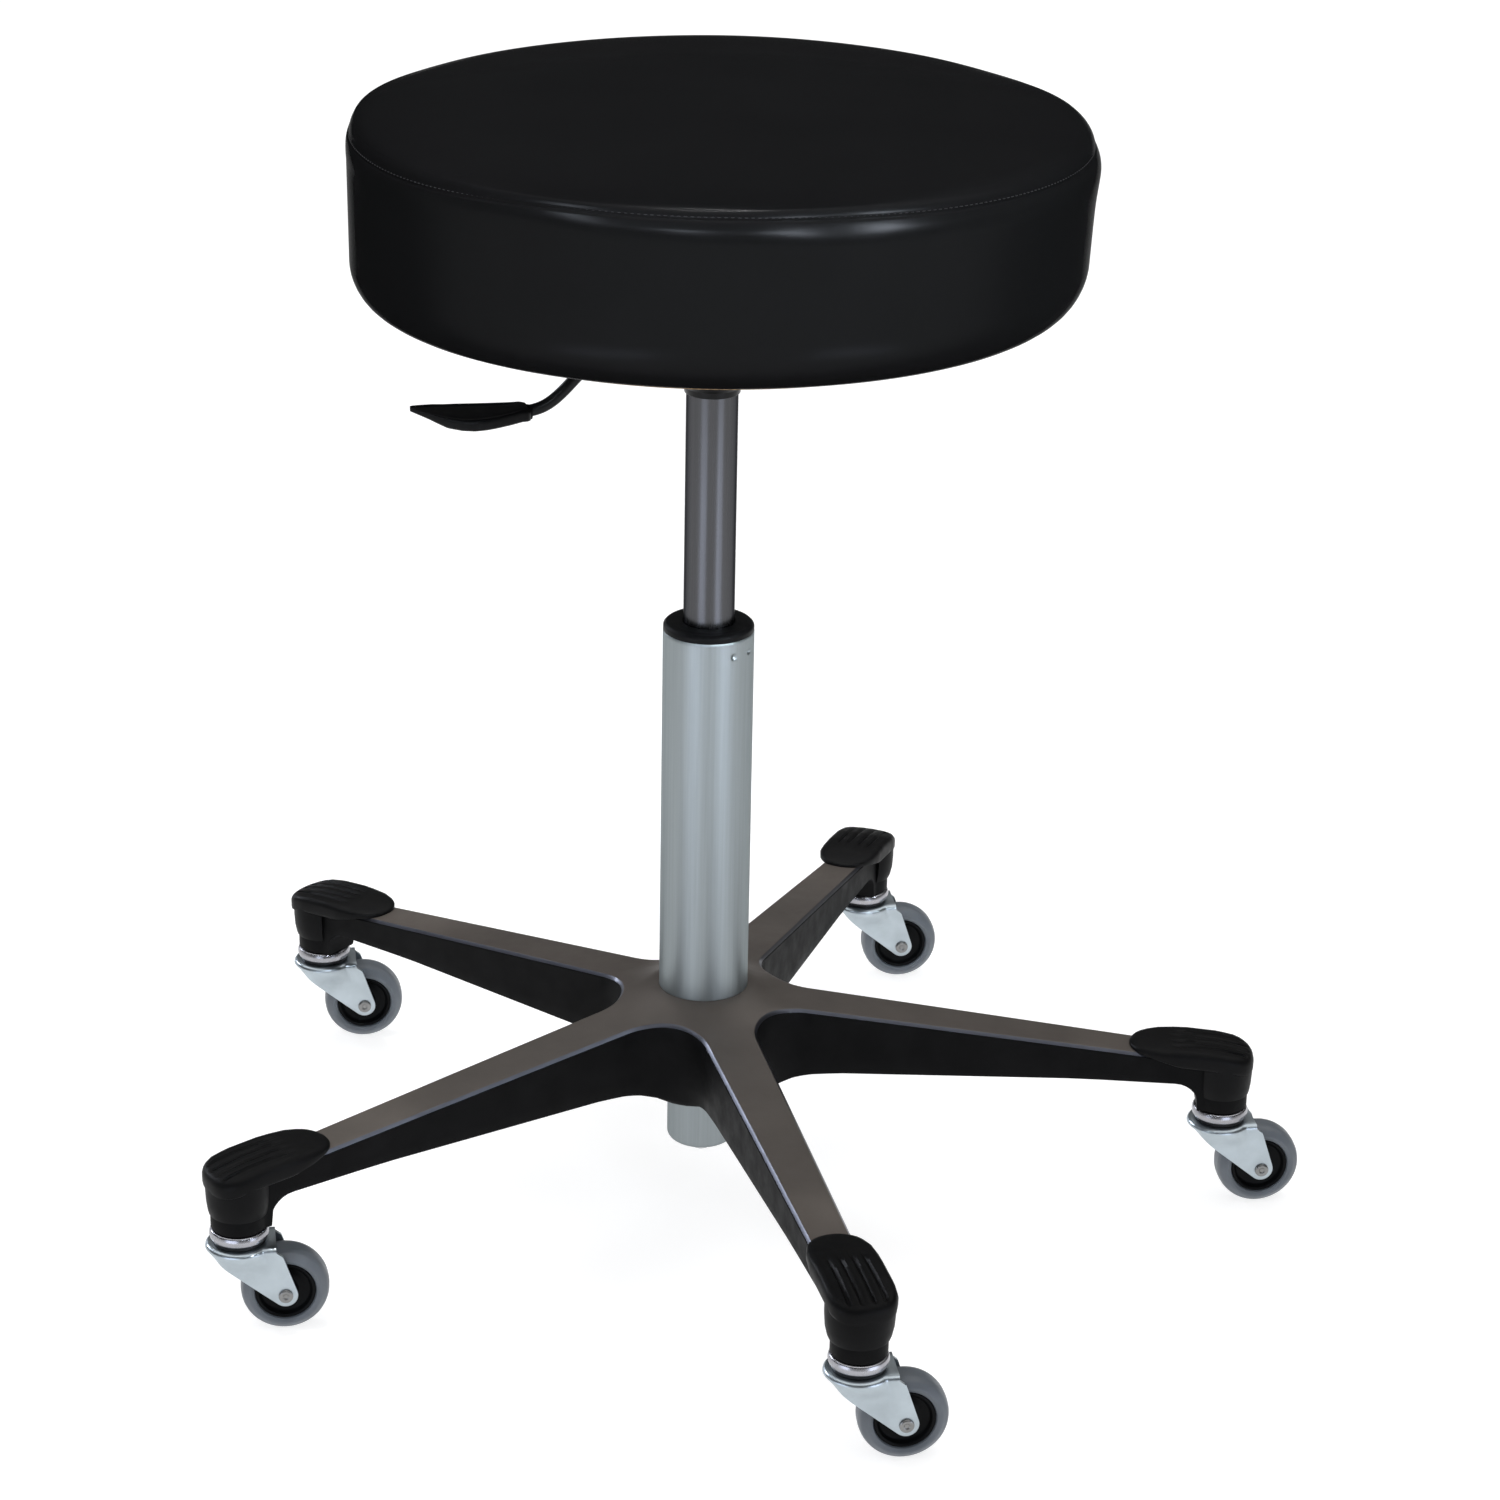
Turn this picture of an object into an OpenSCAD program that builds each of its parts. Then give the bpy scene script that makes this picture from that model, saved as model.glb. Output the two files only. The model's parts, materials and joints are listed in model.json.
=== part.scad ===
// Adjustable swivel stool: a round padded seat on a gas lift, over a five-arm base on casters.
// Millimetres, +Z up. The origin is on the floor, under the column's axis.
// The lift is drawn fully raised, and every caster trails the same way.

/* [Seat] */
// Outer diameter of the upholstered seat
seat_d = 389; // [370:1:405]
// Height of the seat's side, from its underside to its shoulder
seat_side_h = 95; // [85:1:110]
// Rise of the seat's crown above its shoulder
seat_crown = 7; // [4:1:12]
// Height of the seat's underside, with the lift raised
seat_base_z = 531; // [529:1:545]

/* [Gas lift] */
// Outer diameter of the stand tube
stand_d = 50; // [48:1:52]
// Height of the stand tube's upper edge
stand_top_z = 342; // [320:1:342]
// Outer diameter of the moving pressure tube
gas_d = 28; // [26:0.5:28]
// Travel of the lift, downwards from the raised position
lift_stroke = 125; // [80:5:130]

/* [Base] */
// Radius of the circle that the caster stems stand on
stem_circle_r = 296; // [280:1:310]
// Direction of the first arm, measured from +X towards +Y
first_arm_angle = -74; // [-90:1:-60]
// Width of an arm beside the hub
arm_root_w = 31; // [28:1:34]
// Width of an arm beside its toe cap
arm_tip_w = 23.6; // [22:0.2:26]
// Radius of the fillets in the corners between the arms
web_r = 29; // [24:1:32]
// Height of the hub's flat top
hub_top_z = 128.3; // [126:0.1:130]
// Fall of an arm's top for each millimetre of length
arm_fall = 0.121; // [0.10:0.001:0.13]

/* [Casters] */
// Diameter of a wheel over its tread
wheel_d = 47.5; // [46:0.5:49]
// Width of a wheel
wheel_w = 20; // [18:0.5:21]
// Distance from the stem's axis back to the axle
caster_trail = 23.5; // [22:0.5:25]
// Direction in which the casters trail, measured from +X towards +Y
caster_angle = 8; // [0:1:360]

/* [Release lever] */
// Direction in which the lever points, measured from +X towards +Y
lever_angle = 190; // [0:1:360]
// Distance from the column's axis to the tip of the lever's paddle
lever_reach = 161; // [150:1:175]

/* [Hidden] */
$fn = 64;
arm_count = 5;
arm_step = 360 / arm_count;
slip = 0.1;          // gap between two pieces that are pressed or glued together
running = 0.05;      // gap between a shaft and the bore that it turns or slides in

// Seat
seat_r = seat_d / 2;
cover_t = 1.5;
seat_low_r = 20;     // radius of the seat's lower edge
seat_top_r = 13;     // radius of the seat's shoulder
hem_r = 165;         // the cover's hem reaches inwards to here
shoulder_z = seat_base_z + seat_side_h;
board_r = 174;
board_t = 12;
board_z = seat_base_z + cover_t + slip;
board_top_z = board_z + board_t;
dust_r = 162;
dust_t = 0.8;

// Seat plate and its bolts
plate_t = 2.5;
plate_w = 150;
plate_corner_r = 14;
plate_top_z = seat_base_z - slip;
plate_z = plate_top_z - plate_t;
dust_z = plate_top_z + slip;
bolt_spacing = 114;
bolt_r = 3.1;
bolt_hole_r = 3.5;
bolt_head_r = 6.4;
bolt_head_h = 3.6;
washer_r = 8.5;
washer_t = 1.4;
staple_count = 28;
staple_circle_r = 170;
staple_w = 9;
staple_wire = 0.9;
staple_leg = 6;

// Release mechanism, below the plate
socket_low_z = seat_base_z - 54;
box_z = seat_base_z - 31;
box_t = 2.5;
box_w = 46;
box_back = 34;
box_front = 40;
socket_r = 17.5;
socket_top_z = box_z + 5;
gas_top_z = box_z + 5;
valve_pin_r = 3.5;
valve_pin_top_z = gas_top_z + 5.2;
valve_travel = 3;
rod_r = 3.25;
lever_z = valve_pin_top_z + 0.3 + rod_r;
pivot_x = 28;
pivot_r = 2.5;

// Stand tube and what it holds
stand_r = stand_d / 2;
stand_wall = 2;
taper_r = stand_r - 1;
taper_low_z = 74;
stub_r = 19.5;
stub_wall = 2;
stub_low_z = 31;
stub_edge_r = 4;
stub_floor_t = 2.5;
dimple_angles = [-56, -28];
dimple_drop = 8.5;
dimple_ball_r = 2.6;
bush_flange_h = 4.5;
bush_flange_r = stand_d / 2 - 0.2;
bush_depth = 80;
gas_r = gas_d / 2;
gas_wall = 1.5;
gas_in_r = gas_r - gas_wall;
gas_taper_r = gas_r - 0.7;
piston_rod_r = 5;
rod_low_z = 24;
clip_t = 1.4;
clip_z = stub_low_z - clip_t - 0.3;
race_r = 13;
race_t = 1.5;
race_low_z = stub_low_z + stub_floor_t + slip;
thrust_ball_r = 2;
thrust_balls_n = 10;
thrust_pitch_r = 9.2;
race_groove = 0.6;
cage_low_z = race_low_z + race_t - race_groove;
race_up_z = cage_low_z + 2 * thrust_ball_r - race_groove + 2 * slip;
bumper_low_z = race_up_z + race_t + slip;
bumper_h = 16;
bumper_top_z = bumper_low_z + bumper_h;
gas_low_z = bumper_top_z + lift_stroke + 1;
guide_h = 20;
piston_z = gas_low_z + guide_h + 6;
piston_h = 14;
valve_body_h = 34;

// Base casting
hub_r = 38;
hub_low_z = 67;
arm_root_r = 60;
arm_tip_r = 262;
arm_under_z = 80;
arm_flat_to = 215;   // the arm's underside is level out to this radius
arm_under_tip_z = 78;
wall_t = 3.6;
roof_t = 5;
rib_t = 3;
rib_from = [95, 150, 205];
hollow_stop = 5;     // distance between the hollow's end and the fillet under the arm
boss_r = 15;
boss_low_z = 61.2;
boss_overlap = 1.5;  // how far the arm's underside runs into the boss
hollow_in_r = 41;
underside_fillet = 14;
arm_top0_z = 127;    // height of the arms' top plane, carried inwards to the axis
arm_height = 60;     // depth below the arm's top that a cap leaves open
web_steps = 14;

// Arm edges in plan: a straight taper, with the corner between two arms filled by an arc
edge_turn = atan((arm_root_w - arm_tip_w) / 2 / (arm_tip_r - arm_root_r));
edge_off = (arm_root_w / 2 + arm_root_r * tan(edge_turn)) * cos(edge_turn);
half_gap = arm_step / 2 + edge_turn;
web_centre = (edge_off + web_r) / sin(half_gap);

// Toe caps
cap_in_r = 241;
cap_half_w = 18.5;
cap_nose = 17;       // length of each rounded end of the cap
cap_rise = 4.5;      // how far the cap's top stands above the arm
cap_side = 9.5;      // depth of the cap's side
cap_apron_low_z = 70;
cap_apron_r = 17;
cap_fit = 0.15;
cap_over = 5;        // how far the shapes that trim a cap run past it
cap_gap = 0.6;       // gap beside the arm, which widens towards the hub
groove_count = 4;
groove_pitch = 6.4;
groove_w = 1.8;
groove_depth = 1.1;
groove_open = 5;     // how far a groove's cut runs above the cap
groove_from = 268;
groove_to = 305;
cap_steps = 14;

// Caster stem, ball race and fork
stem_r = 5.5;
stem_top_z = 86;
stem_neck_r = 5;
race_ring_r = 16;
race_ring_low_z = 55;
fork_top_z = 52.5;
fork_t = 2;
crown_t = 3;
crown_r = 18.3;
fork_in = wheel_w / 2 + 2.3;
fork_out = fork_in + fork_t;
fork_eye_r = 6.5;
caster_ball_r = 2.2;
caster_pitch_r = 11;
caster_balls_n = 12;
ball_z = (race_ring_low_z + fork_top_z) / 2;
ball_gap = 0.15;
rivet_head_z = 45.8;
rivet_head_r = 7.5;

// Wheels
wheel_r = wheel_d / 2;
axle_r = 3;
axle_head_r = 3.8;
axle_head_h = 1.2;
core_r = wheel_r * 0.69;
tread_edge = 5;      // radius of the tread's shoulders

// ---- Shared helpers ----

// Points of an arc, from angle a0 to angle a1
function arc(c, r, a0, a1, steps = 8) =
    [for (k = [0 : steps]) c + r * [cos(a0 + (a1 - a0) * k / steps), sin(a0 + (a1 - a0) * k / steps)]];

// A solid of revolution about the column's axis
module turned(points, fn = 96) rotate_extrude($fn = fn) polygon(points);

// A plain ring
module ring(r_out, r_in, low, high) turned([[r_in, low], [r_out, low], [r_out, high], [r_in, high]]);

// Places its children on an arm, with +X outwards along the arm
module on_arm(i) rotate(first_arm_angle + (i - 1) * arm_step) children();

// Places its children on a caster's stem, with +X the way that the caster trails
module on_stem(i) {
    a = first_arm_angle + (i - 1) * arm_step;
    translate([stem_circle_r * cos(a), stem_circle_r * sin(a), 0]) rotate(caster_angle) children();
}

// Places its children on an axle, with the wheel's axis along Y
module on_axle(i) on_stem(i) translate([caster_trail, 0, wheel_r]) rotate([90, 0, 0]) children();

// ---- Base ----

// Plan of the star, with its edges moved inwards by inset and its arms ending at radius tip
module star_plan(inset, tip) {
    tip_half = (edge_off - inset) / cos(edge_turn) - tip * tan(edge_turn);
    polygon([for (i = [0 : arm_count - 1])
        let (a = first_arm_angle + i * arm_step, m = a + arm_step / 2)
        each concat(
            [tip * [cos(a), sin(a)] - tip_half * [-sin(a), cos(a)]],
            [tip * [cos(a), sin(a)] + tip_half * [-sin(a), cos(a)]],
            arc(web_centre * [cos(m), sin(m)], web_r + inset, m + 270 - half_gap, m + 90 + half_gap, web_steps)
        )]);
}

function arm_top(r) = arm_top0_z - arm_fall * r;

// Side outline of the star, shared by its five arms
profile_end_r = stem_circle_r + 8;
fillet_x = stem_circle_r - boss_r - underside_fillet + boss_overlap;
arm_profile = concat(
    [[0, hub_low_z], [hub_r - 2, hub_low_z], [hub_r, hub_low_z + 2.5], [hub_r + 6, hub_low_z + 6.5]],
    [[hub_r + 17, hub_low_z + 10.5], [hub_r + 40, arm_under_z], [arm_flat_to, arm_under_z]],
    arc([fillet_x, arm_under_tip_z - underside_fillet], underside_fillet, 90, 0),
    [[stem_circle_r - boss_r + 2 * boss_overlap, boss_low_z + 1], [profile_end_r, boss_low_z + 1]],
    [[profile_end_r, arm_top(profile_end_r)], [52, arm_top(52)], [44, arm_top(44) + 0.7]],
    [[36, arm_top(36) + 2.8], [29, hub_top_z], [0, hub_top_z]]
);

// Side outline of the hollow under the arms
hollow_profile = [
    [hollow_in_r, boss_low_z], [fillet_x, boss_low_z],
    [fillet_x, arm_top(fillet_x) - roof_t], [hollow_in_r, arm_top(hollow_in_r) - roof_t]
];

module star_base() color("#45423f") difference() {
    union() {
        intersection() {
            linear_extrude(hub_top_z + 10) star_plan(0, stem_circle_r);
            turned(arm_profile);
        }
        for (i = [1 : arm_count]) on_arm(i) translate([stem_circle_r, 0, boss_low_z])
            cylinder(h = arm_top(stem_circle_r + boss_r) - boss_low_z, r = boss_r);
    }
    difference() {
        intersection() {
            linear_extrude(hub_top_z) star_plan(wall_t, fillet_x - hollow_stop);
            turned(hollow_profile);
        }
        for (i = [1 : arm_count]) on_arm(i) for (x = rib_from)
            translate([x, -arm_root_w / 2, 0]) cube([rib_t, arm_root_w, hub_top_z]);
    }
    turned([[0, 0], [stub_r + 4, 0], [taper_r + slip, taper_low_z - 4], [taper_r + slip, taper_low_z],
        [stand_r + slip, hub_top_z], [stand_r + slip, hub_top_z + 5], [0, hub_top_z + 5]]);
    for (i = [1 : arm_count]) on_arm(i) translate([stem_circle_r, 0, 0])
        cylinder(h = stem_top_z + 0.5, r = stem_r + slip);
}

// The stand tube: straight above, a taper in the hub, and a narrower stub below it
module stand_tube() color("#a6aeb1") difference() {
    turned(concat(
        [[0, stub_low_z]],
        arc([stub_r - stub_edge_r, stub_low_z + stub_edge_r], stub_edge_r, -90, 0, 5),
        [[stub_r, taper_low_z - 4], [taper_r, taper_low_z], [stand_r, hub_top_z], [stand_r, stand_top_z],
            [0, stand_top_z]]
    ));
    turned([
        [0, stub_low_z + stub_floor_t], [stub_r - stub_wall, stub_low_z + stub_floor_t],
        [stub_r - stub_wall, taper_low_z - 4], [taper_r - stand_wall, taper_low_z],
        [stand_r - stand_wall, hub_top_z], [stand_r - stand_wall, stand_top_z + 1], [0, stand_top_z + 1]
    ]);
    cylinder(h = stub_low_z + 10, r = piston_rod_r + running);
    for (a = dimple_angles) rotate(a) translate([stand_r + 1.4, 0, stand_top_z - dimple_drop])
        sphere(r = dimple_ball_r, $fn = 32);
}

// The bushing that guides the pressure tube, with a flange over the stand tube's edge
module tube_bushing() color("#17181a") turned([
    [gas_r + running, stand_top_z - bush_depth],
    [stand_r - stand_wall - slip, stand_top_z - bush_depth],
    [stand_r - stand_wall - slip, stand_top_z + slip],
    [bush_flange_r, stand_top_z + slip],
    [bush_flange_r, stand_top_z + bush_flange_h - 1.5],
    [bush_flange_r - 1.5, stand_top_z + bush_flange_h],
    [stand_r - 4, stand_top_z + bush_flange_h],
    [gas_r + 2, stand_top_z + bush_flange_h - 1.5],
    [gas_r + running, stand_top_z + bush_flange_h - 1.5]
]);

// Plan of a toe cap: a straight body with rounded ends, the outer one squarer
function cap_end(t, power) = [pow(abs(sin(t)), 2 / power) * sign(sin(t)), pow(abs(cos(t)), 2 / power)];
cap_plan = concat(
    [for (k = [0 : cap_steps]) let (q = cap_end(90 - 180 * k / cap_steps, 2.5))
        [stem_circle_r + cap_nose * q[1], cap_half_w * q[0]]],
    [for (k = [0 : cap_steps]) let (q = cap_end(-90 + 180 * k / cap_steps, 2.1))
        [cap_in_r + cap_nose * (1 - q[1]), cap_half_w * q[0]]]
);

// A slab that follows the arm's top, from low to high above it and half_w to either side
module cap_slab(from, to, low, high, half_w) translate([0, half_w, 0]) rotate([90, 0, 0])
    linear_extrude(2 * half_w) polygon([
        [from, arm_top(from) + low], [to, arm_top(to) + low],
        [to, arm_top(to) + high], [from, arm_top(from) + high]
    ]);

module toe_cap(i) color("#161719") on_arm(i) difference() {
    union() {
        intersection() {
            linear_extrude(hub_top_z) polygon(cap_plan);
            cap_slab(cap_in_r - cap_over, stem_circle_r + cap_nose + cap_over, cap_rise - cap_side, cap_rise,
                cap_half_w + cap_over);
        }
        translate([stem_circle_r, 0, cap_apron_low_z])
            cylinder(h = arm_top(stem_circle_r) - cap_apron_low_z - 1, r = cap_apron_r);
    }
    cap_slab(cap_in_r - cap_over, stem_circle_r, -arm_height, cap_fit, arm_tip_w / 2 + cap_gap);
    translate([stem_circle_r, 0, 0]) cylinder(h = arm_top(stem_circle_r + boss_r) + cap_fit, r = boss_r + cap_fit);
    for (k = [0 : groove_count - 1]) translate([0, (k - (groove_count - 1) / 2) * groove_pitch, 0])
        cap_slab(groove_from, groove_to, cap_rise - groove_depth, cap_rise + groove_open, groove_w / 2);
}

// ---- Casters ----

// Stem, ball race and riveted head, in one piece as pressed and riveted
module caster_stem(i) color("#9fa6ab") on_stem(i) difference() {
    union() {
        cylinder(h = stem_top_z, r = stem_neck_r);
        translate([0, 0, race_ring_low_z]) cylinder(h = stem_top_z - race_ring_low_z - 1, r = stem_r);
        turned(concat(
            [[0, race_ring_low_z], [race_ring_r - 2.5, race_ring_low_z]],
            arc([race_ring_r - 3, race_ring_low_z + 3], 3, -80, 80, 6),
            [[race_ring_r - 3, boss_low_z - slip], [0, boss_low_z - slip]]
        ), 64);
        translate([0, 0, rivet_head_z]) cylinder(h = fork_top_z - crown_t - rivet_head_z - 0.3, r = rivet_head_r);
    }
    translate([0, 0, -1]) cylinder(h = rivet_head_z + 1, r = rivet_head_r + 1);
    ball_groove();
}

module ball_groove() rotate_extrude($fn = 64) translate([caster_pitch_r, ball_z])
    circle(r = caster_ball_r + ball_gap, $fn = 32);

// Five rings of balls between the races and the forks
module caster_balls() color("#c4c8cb") for (i = [1 : arm_count]) on_stem(i)
    for (k = [0 : caster_balls_n - 1]) rotate(k * 360 / caster_balls_n)
        translate([caster_pitch_r, 0, ball_z]) sphere(r = caster_ball_r, $fn = 24);

// Side outline of a fork plate, in the stem's own frame
function fork_tangent(p, s) =
    let (d = [caster_trail, wheel_r] - p, a = atan2(d[1], d[0]), b = asin(fork_eye_r / norm(d)))
    [caster_trail, wheel_r] + fork_eye_r * [cos(a - s * b + s * 90), sin(a - s * b + s * 90)];
fork_front = [-3.5, 36.5];
fork_rear = [21.6, fork_top_z - 1.5];
fork_side = [
    [-12.5, fork_top_z - crown_t], [-11, 44.5], fork_front, fork_tangent(fork_front, -1),
    [caster_trail, wheel_r], fork_tangent(fork_rear, 1), fork_rear, [18, fork_top_z], [-12.5, fork_top_z]
];

module caster_fork(i) color("#b9c6ce") on_stem(i) difference() {
    union() {
        ring(crown_r, stem_neck_r + running, fork_top_z - crown_t, fork_top_z);
        for (s = [-1, 1]) translate([0, s * (fork_in + fork_t / 2), 0]) rotate([90, 0, 0]) {
            translate([0, 0, -fork_t / 2]) linear_extrude(fork_t) polygon(fork_side);
            translate([caster_trail, wheel_r, -fork_t / 2]) cylinder(h = fork_t, r = fork_eye_r);
        }
    }
    ball_groove();
    translate([caster_trail, fork_out + 1, wheel_r]) rotate([90, 0, 0])
        cylinder(h = 2 * fork_out + 2, r = axle_r + slip);
}

module caster_axle(i) color("#8a8d8f") on_axle(i) {
    translate([0, 0, -fork_out - slip]) cylinder(h = 2 * (fork_out + slip), r = axle_r);
    for (s = [-1, 1]) translate([0, 0, s * (fork_out + slip + axle_head_h / 2) - axle_head_h / 2])
        cylinder(h = axle_head_h, r = axle_head_r);
}

module wheel_core(i) color("#1b1e21") on_axle(i) turned([
    [axle_r + running, -wheel_w / 2 - 0.8], [6, -wheel_w / 2 - 0.8], [6, -4], [core_r - 2.5, -4],
    [core_r - 2.5, -wheel_w / 2 + 1.5], [core_r, -wheel_w / 2 + 1.5],
    [core_r, wheel_w / 2 - 1.5], [core_r - 2.5, wheel_w / 2 - 1.5],
    [core_r - 2.5, 4], [6, 4], [6, wheel_w / 2 + 0.8], [axle_r + running, wheel_w / 2 + 0.8]
], 64);

module wheel_tread(i) color("#666d71") on_axle(i) turned(concat(
    [[core_r + slip, -wheel_w / 2 + 1], [wheel_r - tread_edge, -wheel_w / 2]],
    arc([wheel_r - tread_edge, -wheel_w / 2 + tread_edge], tread_edge, -90, 0, 6),
    arc([wheel_r - tread_edge, wheel_w / 2 - tread_edge], tread_edge, 0, 90, 6),
    [[core_r + slip, wheel_w / 2 - 1]]
), 96);

// ---- Swivel and piston rod, inside the stand tube ----

module ball_race(low) difference() {
    ring(race_r, piston_rod_r + slip, low, low + race_t);
    rotate_extrude($fn = 64) translate([thrust_pitch_r, cage_low_z + thrust_ball_r + slip])
        circle(r = thrust_ball_r + slip, $fn = 32);
}

module lower_race() color("#9aa0a4") ball_race(race_low_z);

module upper_race() color("#9aa0a4") ball_race(race_up_z);

module thrust_balls() color("#c4c8cb") for (k = [0 : thrust_balls_n - 1])
    rotate(k * 360 / thrust_balls_n) translate([thrust_pitch_r, 0, cage_low_z + thrust_ball_r + slip])
        sphere(r = thrust_ball_r, $fn = 24);

module piston_rod() color("#b4b9bc") difference() {
    translate([0, 0, rod_low_z]) cylinder(h = piston_z + piston_h - rod_low_z, r = piston_rod_r);
    ring(piston_rod_r + 1, piston_rod_r - 1.2, clip_z - slip, clip_z + clip_t + slip);
}

// Horseshoe clip in the rod's groove, under the stand tube
module retaining_clip() color("#55585a") translate([0, 0, clip_z]) difference() {
    cylinder(h = clip_t, r = 10);
    translate([0, 0, -1]) cylinder(h = clip_t + 2, r = piston_rod_r - 1.2 + slip);
    translate([0, -piston_rod_r + 1.2 - slip, -1]) cube([20, 2 * (piston_rod_r - 1.2 + slip), clip_t + 2]);
}

module bumper() color("#232323") ring(12, piston_rod_r + slip, bumper_low_z, bumper_top_z);

module piston() color("#77797b") difference() {
    ring(gas_in_r - running, piston_rod_r + slip, piston_z, piston_z + piston_h);
    ring(gas_in_r, gas_in_r - 2, piston_z + 5, piston_z + 9);
}

module piston_seal() color("#1c1c1c")
    ring(gas_in_r - running, gas_in_r - 2 + slip, piston_z + 5 + slip, piston_z + 9 - slip);

// ---- Moving column ----

module gas_tube() color("#4a4a4d") difference() {
    turned([[0, gas_low_z], [gas_r - 1, gas_low_z], [gas_r, gas_low_z + 1.5], [gas_r, socket_low_z],
        [gas_taper_r, gas_top_z], [0, gas_top_z]]);
    translate([0, 0, gas_low_z - 1]) cylinder(h = gas_top_z - gas_low_z + 2, r = gas_in_r);
}

module rod_guide() color("#5b5e60")
    ring(gas_in_r - slip, piston_rod_r + running, gas_low_z + 1, gas_low_z + 1 + guide_h);

module valve_body() color("#8f9496") difference() {
    ring(gas_in_r - slip, 1.2, gas_top_z - valve_body_h, gas_top_z - 0.5);
    translate([0, 0, gas_top_z - 20]) cylinder(h = 30, r = valve_pin_r + running);
}

// The release pin, with a domed head for the lever to press on
module valve_pin() color("#c9b68a") intersection() {
    translate([0, 0, gas_top_z - 15]) cylinder(h = valve_pin_top_z - gas_top_z + 15, r = valve_pin_r);
    translate([0, 0, valve_pin_top_z - 30]) sphere(r = 30, $fn = 96);
}

module taper_socket() color("#1a1b1d") turned([
    [gas_r + slip, socket_low_z], [gas_r + 1, socket_low_z], [socket_r - 0.6, socket_low_z + 4],
    [socket_r, socket_low_z + 6], [socket_r, socket_top_z], [gas_taper_r + slip, socket_top_z]
], 64);

// Channel that carries the lever's pivot, open towards the lever
module mechanism_box() color("#1a1b1d") rotate(lever_angle) difference() {
    translate([-box_back, -box_w / 2, box_z]) cube([box_back + box_front, box_w, plate_z - slip - box_z]);
    translate([-box_back + box_t, -box_w / 2 + box_t, box_z + box_t])
        cube([box_back + box_front, box_w - 2 * box_t, 60]);
    translate([0, 0, box_z - 1]) cylinder(h = box_t + 2, r = socket_r + slip);
    translate([pivot_x, box_w / 2 + 1, lever_z]) rotate([90, 0, 0]) cylinder(h = box_w + 2, r = pivot_r + slip);
}

module pivot_pin() color("#9aa0a4") rotate(lever_angle) translate([pivot_x, 0, lever_z]) rotate([90, 0, 0]) {
    translate([0, 0, -box_w / 2 - 0.3]) cylinder(h = box_w + 0.6, r = pivot_r);
    for (s = [-1, 1]) translate([0, 0, s * (box_w / 2 + 1) - 0.7]) cylinder(h = 1.4, r = pivot_r + 1.5);
}

// ---- Lever ----

// Centre line of the bent rod, in the lever's own vertical plane
lever_drop = 44.5;
lever_path = [
    [-7, lever_z], [44, lever_z], [54, lever_z - 6.5], [88, lever_z - 39.5],
    [98, lever_z - lever_drop], [lever_reach - 40, lever_z - lever_drop]
];

module straight_rod(p, q) {
    d = q - p;
    translate([p[0], 0, p[1]]) rotate([0, 90 - atan2(d[1], d[0]), 0]) cylinder(h = norm(d), r = rod_r, $fn = 32);
}

module lever_rod() color("#17181a") rotate(lever_angle) difference() {
    union() {
        for (k = [0 : len(lever_path) - 2]) straight_rod(lever_path[k], lever_path[k + 1]);
        for (k = [1 : len(lever_path) - 2]) translate([lever_path[k][0], 0, lever_path[k][1]])
            sphere(r = rod_r + 0.15, $fn = 32);
        translate([pivot_x, 8, lever_z]) rotate([90, 0, 0]) cylinder(h = 16, r = rod_r + 2.2, $fn = 32);
    }
    translate([pivot_x, 9, lever_z]) rotate([90, 0, 0]) cylinder(h = 18, r = pivot_r + running);
}

// Paddle outline: a straight far edge, and a near edge that bulges towards the hand
paddle_z = lever_z - lever_drop;
paddle_root_x = lever_reach - 61;
paddle_far = -7;
paddle_bulge = 20;
paddle_plan = concat(
    [[paddle_root_x, paddle_far], [paddle_root_x, 9], [paddle_root_x + 4, 13.5]],
    [for (k = [1 : 12]) let (t = k / 12)
        [paddle_root_x + 4 + t * (lever_reach - paddle_root_x - 4),
            13.5 * (1 - t) + (paddle_bulge - 7) * 1.15 * sin(180 * pow(t, 0.85))]],
    [[lever_reach - 3, -2.5], [lever_reach - 22, paddle_far]]
);

module lever_paddle() color("#141517") rotate(lever_angle) difference() {
    union() {
        translate([paddle_root_x, 0, paddle_z]) rotate([0, -3, 0]) translate([-paddle_root_x, 0, -4])
            linear_extrude(5) polygon(paddle_plan);
        translate([paddle_root_x, 0, paddle_z]) rotate([0, 90, 0]) cylinder(h = 30, r = 5.2, $fn = 32);
    }
    translate([paddle_root_x - 5, 0, paddle_z]) rotate([0, 90, 0]) cylinder(h = 31, r = rod_r + slip);
}

// ---- Seat ----

// Outline of the upholstered seat, from the axis out and up, moved inwards by inset
function seat_outline(inset) = concat(
    [[0, seat_base_z + inset]],
    arc([seat_r - seat_low_r, seat_base_z + seat_low_r], seat_low_r - inset, -90, 0, 8),
    arc([seat_r - seat_top_r, shoulder_z - seat_top_r], seat_top_r - inset, 0, 84, 7),
    [for (k = [1 : 8]) let (t = 1 - k / 8)
        [t * (seat_r - seat_top_r), shoulder_z - inset + seat_crown * (1 - t * t)]]
);

module seat_cover() color("#1b1b1c") difference() {
    turned(seat_outline(0), 128);
    turned(seat_outline(cover_t), 128);
    translate([0, 0, seat_base_z - 1]) cylinder(h = cover_t + 2, r = hem_r);
}

module seat_foam() color("#d9cfa6") intersection() {
    turned(seat_outline(cover_t + slip), 128);
    translate([0, 0, board_top_z + slip]) cylinder(h = 200, r = seat_d);
}

module at_bolts() for (x = [-1, 1], y = [-1, 1]) rotate(lever_angle)
    translate([x * bolt_spacing / 2, y * bolt_spacing / 2, 0]) children();

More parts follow.
